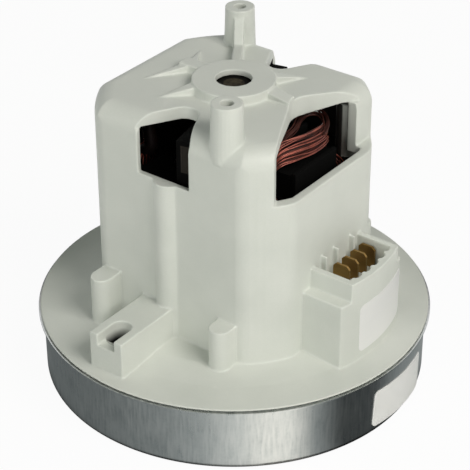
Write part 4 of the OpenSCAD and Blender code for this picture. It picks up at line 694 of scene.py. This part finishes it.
def coil_turn(share, depth, leg, chance):
    """Control points of one turn: share from foot to top, depth from skin to middle, leg in the slot."""
    reach = chance.uniform(-WANDER, WANDER)
    wave = np.linspace(chance.uniform(0, 3), chance.uniform(5, 9), len(FOOT_GUIDE))
    blend = np.clip(share + reach * np.sin(wave), 0, 1)[:, None]
    over = FOOT_GUIDE * (1 - blend) + TOP_GUIDE * blend + SWELL * 4 * blend * (1 - blend)
    middle = 0.5 * (FOOT_GUIDE + TOP_GUIDE) - BUNDLE_SHIFT
    over = middle + (over - middle) * (1 - LAYER_STEP * depth)
    over = over + np.array([[chance.uniform(-JITTER, JITTER) for _ in range(3)] for _ in over])
    x = coil_low.x + WIRE_R + leg[0] * (coil_high.x - coil_low.x - 2 * WIRE_R)
    y = coil_high.y - WIRE_R - leg[1] * LEG_SPREAD
    low = coil_low.z + WIRE_R + leg[1] * LEG_SPREAD
    up = [(x, -y, z) for z in LEG_Z[::-1]]
    down = [(x, y, z) for z in LEG_Z]
    rise, bend = low + 2 * LEG_CORNER, low + 0.3 * LEG_CORNER
    under = [(x, y, rise), (x, y - LEG_CORNER, bend), (x, 0, low), (x, -y + LEG_CORNER, bend), (x, -y, rise)]
    return np.vstack([up, over, down, under])


print("coil between", tuple(round(v, 4) for v in coil_low), "and", tuple(round(v, 4) for v in coil_high))

# %% Field coil meshes
def coil_wire(seed):
    """Control points of the skin turns, and of the layers under them."""
    chance = random.Random(seed)
    shares = [(depth, (k + 0.5) / count) for depth, count in enumerate(LAYERS) for k in range(count)]
    rows = []
    for k, (depth, share) in enumerate(shares):
        leg = (k % LEG_COLUMNS / (LEG_COLUMNS - 1), k // LEG_COLUMNS / (LEG_ROWS - 1))
        rows.append(coil_turn(share, depth, leg, chance))
    return np.vstack(rows[:LAYERS[0]]), np.vstack(rows[LAYERS[0]:])


LOOP_GUIDE = np.array([(29.6, 8.0, 93.2), (28.4, 12.0, 94.6), (25.6, 15.0, 95.9), (22.4, 15.8, 96.6),
                       (20.6, 12.4, 96.7), (20.9, 7.5, 96.3), (22.6, 2.5, 95.6), (22.8, -4.0, 94.6),
                       (22.7, -10.0, 92.0)]) * MM
LOOPS = 7


def loose_loops(seed):
    """A few strands that curl in at the coil's end and lie back over its top."""
    chance = random.Random(seed)
    for _ in range(LOOPS):
        shift = (chance.uniform(-0.9, 0.9), chance.uniform(-1.6, 0.9), chance.uniform(-1.6, 0.3))
        yield LOOP_GUIDE + np.array(shift) * MM


def half_turn(points):
    return np.asarray(points) * np.array((-1.0, -1.0, 1.0))


CURVE_STEPS = 5
bundle_path = coil_turn(0.5, 1 / LAYER_STEP, (0.5, 0.5), random.Random(1))
for side, flip in (("a", False), ("b", True)):
    place = half_turn if flip else np.asarray
    skin, under = (smooth_line(points, CURVE_STEPS) for points in coil_wire(seed=7 if flip else 3))
    loops = [smooth_line(points, CURVE_STEPS) for points in loose_loops(seed=9 if flip else 5)]
    outer = add_piece(f"field_wire_{side}", *sweep(place(skin), WIRE_R, WIRE_SIDES), "copper_wire")
    stand_for(outer, f"field_winding_{side}")
    # Painted shade: the under layers and loose loops take the darker copy of the copper.
    tubes = [sweep(place(line), WIRE_R, WIRE_SIDES) for line in [under] + loops]
    inner = add_piece(f"field_under_{side}", *join_meshes(tubes), "shaded_copper")
    ride_with(inner, f"field_winding_{side}")
    bundle = sweep(place(smooth_line(bundle_path, CURVE_STEPS)), BUNDLE_R, 2 * WIRE_SIDES)
    stand_for(add_piece(f"field_bundle_{side}", *bundle, "deep_copper"), f"field_coil_core_{side}")
    length = np.linalg.norm(np.diff(np.vstack([skin, under]), axis=0), axis=1).sum()
    print("field coil", side, "wire", round(length, 2), "m")

# %% [markdown]
# ## Armature winding
# The armature's coils leave one slot, cross the end of the core and enter another slot five places on. Laid
# over each other they make a woven collar at either end. Each strand here climbs out of its slot, leans
# round the shaft and drops into the far one; a plain collar under them is the hidden rest.

# %% Armature winding
wind_low, wind_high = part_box("armature_winding")
core_low, core_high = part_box("armature_core")
STRANDS = 84
STRAND_R = 0.33 * MM
SPAN_ANGLE = math.radians(150)
STRAND_POINTS = 15
STRAND_SIDES = 5
STRAND_DIP, STRAND_LEVEL = (0.28, 0.46), (0.72, 1.0)
STRAND_SLACK = 1.2 * MM
COLLAR_OUTER, COLLAR_INNER, COLLAR_CROWN = 0.86, 0.36, 0.8
COLLAR_STEPS = 48


def head_strand(i, height, chance):
    """One strand over an end, from slot to slot; height is the collar's."""
    start = 2 * math.pi * i / STRANDS
    t = np.linspace(0, 1, STRAND_POINTS)
    lift = np.sin(math.pi * t) ** 0.55
    outer = wind_high.x - STRAND_R
    dip = chance.uniform(*STRAND_DIP)
    radius = outer * (1 - dip * np.sin(math.pi * t) ** 1.5) - chance.uniform(0, STRAND_SLACK)
    level = chance.uniform(*STRAND_LEVEL)
    angle = start + SPAN_ANGLE * t
    rise = level * (height - STRAND_R) * lift
    return np.column_stack([radius * np.cos(angle), radius * np.sin(angle), rise])


def collar(height):
    """The plain collar under the strands, turned from five points."""
    outer, inner = COLLAR_OUTER * wind_high.x, COLLAR_INNER * wind_high.x
    crown = COLLAR_CROWN * height
    profile = [(inner, 0), (outer, 0), (outer, 0.5 * height), (0.8 * outer, crown), (inner, crown)]
    turns = np.arange(COLLAR_STEPS) * 2 * math.pi / COLLAR_STEPS
    verts = [(r * math.cos(a), r * math.sin(a), z) for a in turns for r, z in profile]
    n = len(profile)
    spans = [(s * n, (s + 1) % COLLAR_STEPS * n) for s in range(COLLAR_STEPS)]
    faces = [(a + k, b + k, b + (k + 1) % n, a + (k + 1) % n) for a, b in spans for k in range(n)]
    return np.array(verts), faces


def winding_end(base, height, way, seed):
    chance = random.Random(seed)
    place = np.array((1.0, way, way))
    lift = np.array((0.0, 0.0, base))
    paths = [head_strand(i, height, chance) * place + lift for i in range(STRANDS)]
    wires = [sweep(path, STRAND_R, STRAND_SIDES) for path in paths]
    filler_verts, filler_faces = collar(height)
    return join_meshes(wires), (filler_verts * place + lift, filler_faces)


top_wires, top_fill = winding_end(core_high.z, wind_high.z - core_high.z, way=1.0, seed=11)
low_wires, low_fill = winding_end(core_low.z, core_low.z - wind_low.z, way=-1.0, seed=12)
armature_wires = add_piece("armature_wires", *join_meshes([top_wires, low_wires]), "copper_wire")
stand_for(armature_wires, "armature_winding")
armature_fill = add_piece("armature_bundle", *join_meshes([top_fill, low_fill]), "deep_copper")
ride_with(armature_fill, "armature_winding")
print("armature strands:", 2 * STRANDS, "faces:", len(armature_wires.data.polygons))

# %% [markdown]
# ## Brush springs
# A small helix pushes each brush. It is wound finer than the solid, at its free length. A hair's gap at the
# brush keeps the last turn from sinking into the carbon.

# %% Brush springs
SPRING_WIRE_R = 0.29 * MM
SPRING_TURNS = 6
SPRING_STEPS = 16
SPRING_SIDES = 8
END_TURN, END_SHARE = 0.75, 0.09
SPRING_GAP = 0.15 * MM
SPRING_FREE = 9.0 * MM - SPRING_GAP


def brush_axis(side):
    joint = next(j for j in frame["joints"] if j["name"] == f"brush_{side}_slide")
    return np.array(joint["axis"]), joint["range_m"][1]


for side in "ab":
    axis, travel = brush_axis(side)
    low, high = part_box(f"brush_spring_{side}")
    middle = np.array((low + high) / 2) + axis * SPRING_GAP / 2
    across = np.cross(axis, (0, 0, 1))
    coil_r = (high.z - low.z) / 2 - SPRING_WIRE_R
    t = np.arange(SPRING_TURNS * SPRING_STEPS + 1) / SPRING_STEPS
    turns = (0, END_TURN, SPRING_TURNS - END_TURN, SPRING_TURNS)
    reach = np.interp(t, turns, (0, END_SHARE, 1 - END_SHARE, 1)) - 0.5
    helix = (middle + np.outer(reach * (SPRING_FREE - 2 * SPRING_WIRE_R), axis)
             + np.outer(coil_r * np.cos(2 * math.pi * t), across)
             + np.outer(coil_r * np.sin(2 * math.pi * t), (0, 0, 1)))
    spring = add_piece(f"spring_wire_{side}", *sweep(helix, SPRING_WIRE_R, SPRING_SIDES), "spring_steel")
    stand_for(spring, f"brush_spring_{side}")
    tuple(axis)
    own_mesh(spring)
    print("spring", side, "free", SPRING_FREE, "closed", round(SPRING_FREE - travel, 4))

# %% [markdown]
# ## Inner leads
# Short sleeved leads join the tabs, the coils and the brushes. They follow the same points as the solids,
# drawn as smooth curves with round sleeves.

# %% Inner leads
LEAD_R = 0.9 * MM
LEAD_SIDES = 12
LEAD_STEPS = 6
TERMINAL_ROUTE_A = [(43.3, -1.2, 39.3), (43.3, -1.2, 36.2), (42.4, -1.3, 34.4), (40.4, -1.6, 33.6),
                    (37, -2, 33.4), (33.6, -2.4, 33.4), (32, -2.4, 33.4)]
TERMINAL_ROUTE_B = [(43.3, 13.8, 39.3), (43.3, 13.8, 36.2), (43.3, 12.4, 34.2), (42.5, 10.8, 33),
                    (40, 10.2, 32.4), (37, 10.2, 32), (34.6, 13, 31.6), (33.6, 18, 31.2), (30.6, 23.4, 31),
                    (22, 27, 31), (8, 29, 31), (-8, 29, 31), (-20, 27.4, 31), (-26, 25, 31),
                    (-27, 23.4, 31.4), (-27, 21.4, 31.6)]
BRUSH_ROUTE_A = [(20.8, -18.6, 91), (19.4, -20.6, 91), (17.4, -24, 91), (15.2, -27.6, 91), (13, -30.2, 91),
                 (10.7, -31, 91), (8.7, -31.4, 91)]
BRUSH_ROUTE_B = [(-x, -y, z) for x, y, z in BRUSH_ROUTE_A]

for node, route in (("terminal_lead_a", TERMINAL_ROUTE_A), ("terminal_lead_b", TERMINAL_ROUTE_B),
                    ("brush_lead_a", BRUSH_ROUTE_A), ("brush_lead_b", BRUSH_ROUTE_B)):
    line = smooth_line(np.array(route) * MM, LEAD_STEPS)
    tube = sweep(line, LEAD_R, LEAD_SIDES)
    stand_for(add_piece(node.replace("lead", "sleeve"), *tube, "lead_sleeve"), node)
    print(node, "points", len(line))

# %% [markdown]
# ## Stage and light
# The photograph has a white ground, a large soft light high on the right, which leaves the left of the flange
# in the tower's shadow, and a weaker low light from the front left.
#
# The floor and the sky are white where the camera or a mirror sees them. For the light that falls on the
# motor the floor is a pale diffuse sheet and the sky a dim fill, so the plastic keeps its shading.

# %% Floor and sky
FLOOR_SIZE = 6.0
FLOOR_DROP = 0.1 * MM
WHITE = rgb(1.0, 1.0, 1.0)
FLOOR_GLOW = 0.95
SKY_FILL = 0.17


def seen_directly(tree):
    """One where the camera, a mirror or a glass sees a surface, zero where it only lights."""
    path = add_node(tree, "LightPath").outputs
    either = combine(tree, "MAXIMUM", path["Is Camera Ray"], path["Is Glossy Ray"])
    return combine(tree, "MAXIMUM", either, path["Is Transmission Ray"])


floor_mesh = bpy.data.meshes.new("floor")
half = FLOOR_SIZE / 2
corners = [(-half, -half, 0), (half, -half, 0), (half, half, 0), (-half, half, 0)]
floor_mesh.from_pydata(corners, [], [(0, 1, 2, 3)])
floor = bpy.data.objects.new("floor", floor_mesh)
bpy.context.scene.collection.objects.link(floor)
floor.location.z = -FLOOR_DROP
material, tree, shader = start_finish("pale_floor")
shader.inputs["Base Color"].default_value = rgb(0.86, 0.87, 0.86)
shader.inputs["Roughness"].default_value = 0.9
glow = add_node(tree, "Emission", {"Color": WHITE, "Strength": 1.0})
share = combine(tree, "MULTIPLY", seen_directly(tree), FLOOR_GLOW)
blend = add_node(tree, "MixShader", {0: share, 1: shader.outputs[0], 2: glow.outputs[0]})
tree.links.new(blend.outputs[0], tree.nodes["Material Output"].inputs["Surface"])
floor_mesh.materials.append(material)

world = bpy.data.worlds.new("studio")
world.use_nodes = True
bpy.context.scene.world = world
sky = world.node_tree
back = sky.nodes["Background"]
direct = seen_directly(sky)
level = add_node(sky, "MapRange", {"Value": direct, "To Min": SKY_FILL, "To Max": 1.0})
tint = mix_colour(sky, direct, rgb(0.92, 1.0, 0.92), WHITE)
sky.links.new(tint, back.inputs["Color"])
sky.links.new(level.outputs["Result"], back.inputs["Strength"])
print("floor and sky ready")

# %% Lamps
MIDDLE = Vector((0.0, 0.0, 0.06))
LAMP_DISTANCE = 1.2


def add_lamp(name, azimuth, elevation, size, power, colour):
    """A soft lamp at these angles from the motor, turned to its middle."""
    a, e = math.radians(azimuth), math.radians(elevation)
    way = Vector((math.cos(e) * math.cos(a), math.cos(e) * math.sin(a), math.sin(e)))
    light = bpy.data.lights.new(name, "AREA")
    light.shape = "RECTANGLE"
    light.size, light.size_y = size
    light.energy = power
    light.color = colour
    lamp = bpy.data.objects.new(name, light)
    bpy.context.scene.collection.objects.link(lamp)
    lamp.location = MIDDLE + LAMP_DISTANCE * way
    lamp.rotation_euler = (-way).to_track_quat("-Z", "Y").to_euler()


add_lamp("key_right", -11, 41, size=(0.6, 0.6), power=9.1, colour=(1.0, 0.97, 0.915))
add_lamp("low_front", -92, 10, size=(0.8, 0.4), power=3.5, colour=(1.0, 1.0, 0.95))

# %% [markdown]
# ### A card for the can
# A shiny can shows whatever stands next to it. Photographers bend a graded card close round such a can to
# give its wall a bright middle with dark flanks. This one is a strip just off the wall, with a foot under it,
# whose tone changes with the angle. It darkens under the can and above the rim, which draws the dark lines
# along both edges. Only reflections see it, so it neither shows nor casts a shadow.

# %% Reflection card
CARD_R = 72 * MM
CARD_TOP = 38 * MM
CARD_FOOT = 60 * MM
COOL, WARM = (0.87, 0.98, 1.0), (1.0, 0.985, 0.92)
SHADE_IN, SHADE_OUT = 67.0 * MM, 68.6 * MM
SHADE_TONE = 0.15
FADE_LOW, FADE_HIGH = 24.2 * MM, 27.0 * MM
CARD_TONES = ((-180, 0.16), (-120, 0.15), (-100, 0.16), (-88, 0.19), (-75, 0.25), (-63, 0.40), (-52, 0.72),
              (-44, 1.0), (-36, 1.0), (-28, 0.30), (-19, 0.055), (-5, 0.06), (8, 0.25), (40, 0.32),
              (110, 0.30), (180, 0.16))
CARD_STEPS = 180

angles = np.radians(np.linspace(-180, 180, CARD_STEPS + 1))
profile = ((CARD_R, CARD_TOP), (CARD_R, 0.0), (CARD_FOOT, 0.0))
verts = [(r * math.cos(a), r * math.sin(a), z) for a in angles for r, z in profile]
faces = [(3 * i + k, 3 * i + k + 1, 3 * i + k + 4, 3 * i + k + 3) for i in range(CARD_STEPS) for k in (0, 1)]
card_mesh = bpy.data.meshes.new("reflection_card")
card_mesh.from_pydata(verts, [], faces)
card = bpy.data.objects.new("reflection_card", card_mesh)
bpy.context.scene.collection.objects.link(card)
material, tree, shader = start_finish("graded_card")
tree.nodes.remove(shader)
axes = add_node(tree, "SeparateXYZ", {0: add_node(tree, "TexCoord").outputs["Object"]}).outputs
turn = combine(tree, "ARCTAN2", axes["Y"], axes["X"])
ramp = add_node(tree, "ValToRGB", {0: ramp_mask(tree, turn, -math.pi, math.pi)})
stops = ramp.color_ramp.elements
for i, (angle, tone) in enumerate(CARD_TONES):
    at = (angle + 180) / 360
    stop = stops[i] if i < 2 else stops.new(at)
    stop.position, stop.color = at, rgb(*(tone * (c + tone * (w - c)) for c, w in zip(COOL, WARM)))
flat = add_node(tree, "CombineXYZ", {0: axes["X"], 1: axes["Y"]}).outputs[0]
away = add_node(tree, "VectorMath", {0: flat}, operation="LENGTH").outputs["Value"]
shade = add_node(tree, "MapRange", {"Value": away, "From Min": SHADE_IN, "From Max": SHADE_OUT,
                                    "To Min": SHADE_TONE})
fade = add_node(tree, "MapRange", {"Value": axes["Z"], "From Min": FADE_LOW, "From Max": FADE_HIGH,
                                   "To Min": 1.0, "To Max": SHADE_TONE})
level = combine(tree, "MULTIPLY", shade.outputs["Result"], fade.outputs["Result"])
glow = add_node(tree, "Emission", {"Color": ramp.outputs["Color"], "Strength": level})
tree.links.new(glow.outputs[0], tree.nodes["Material Output"].inputs["Surface"])
card_mesh.materials.append(material)
card.visible_camera = card.visible_diffuse = card.visible_shadow = False
card.visible_transmission = card.visible_volume_scatter = False
print("card tones:", len(stops))
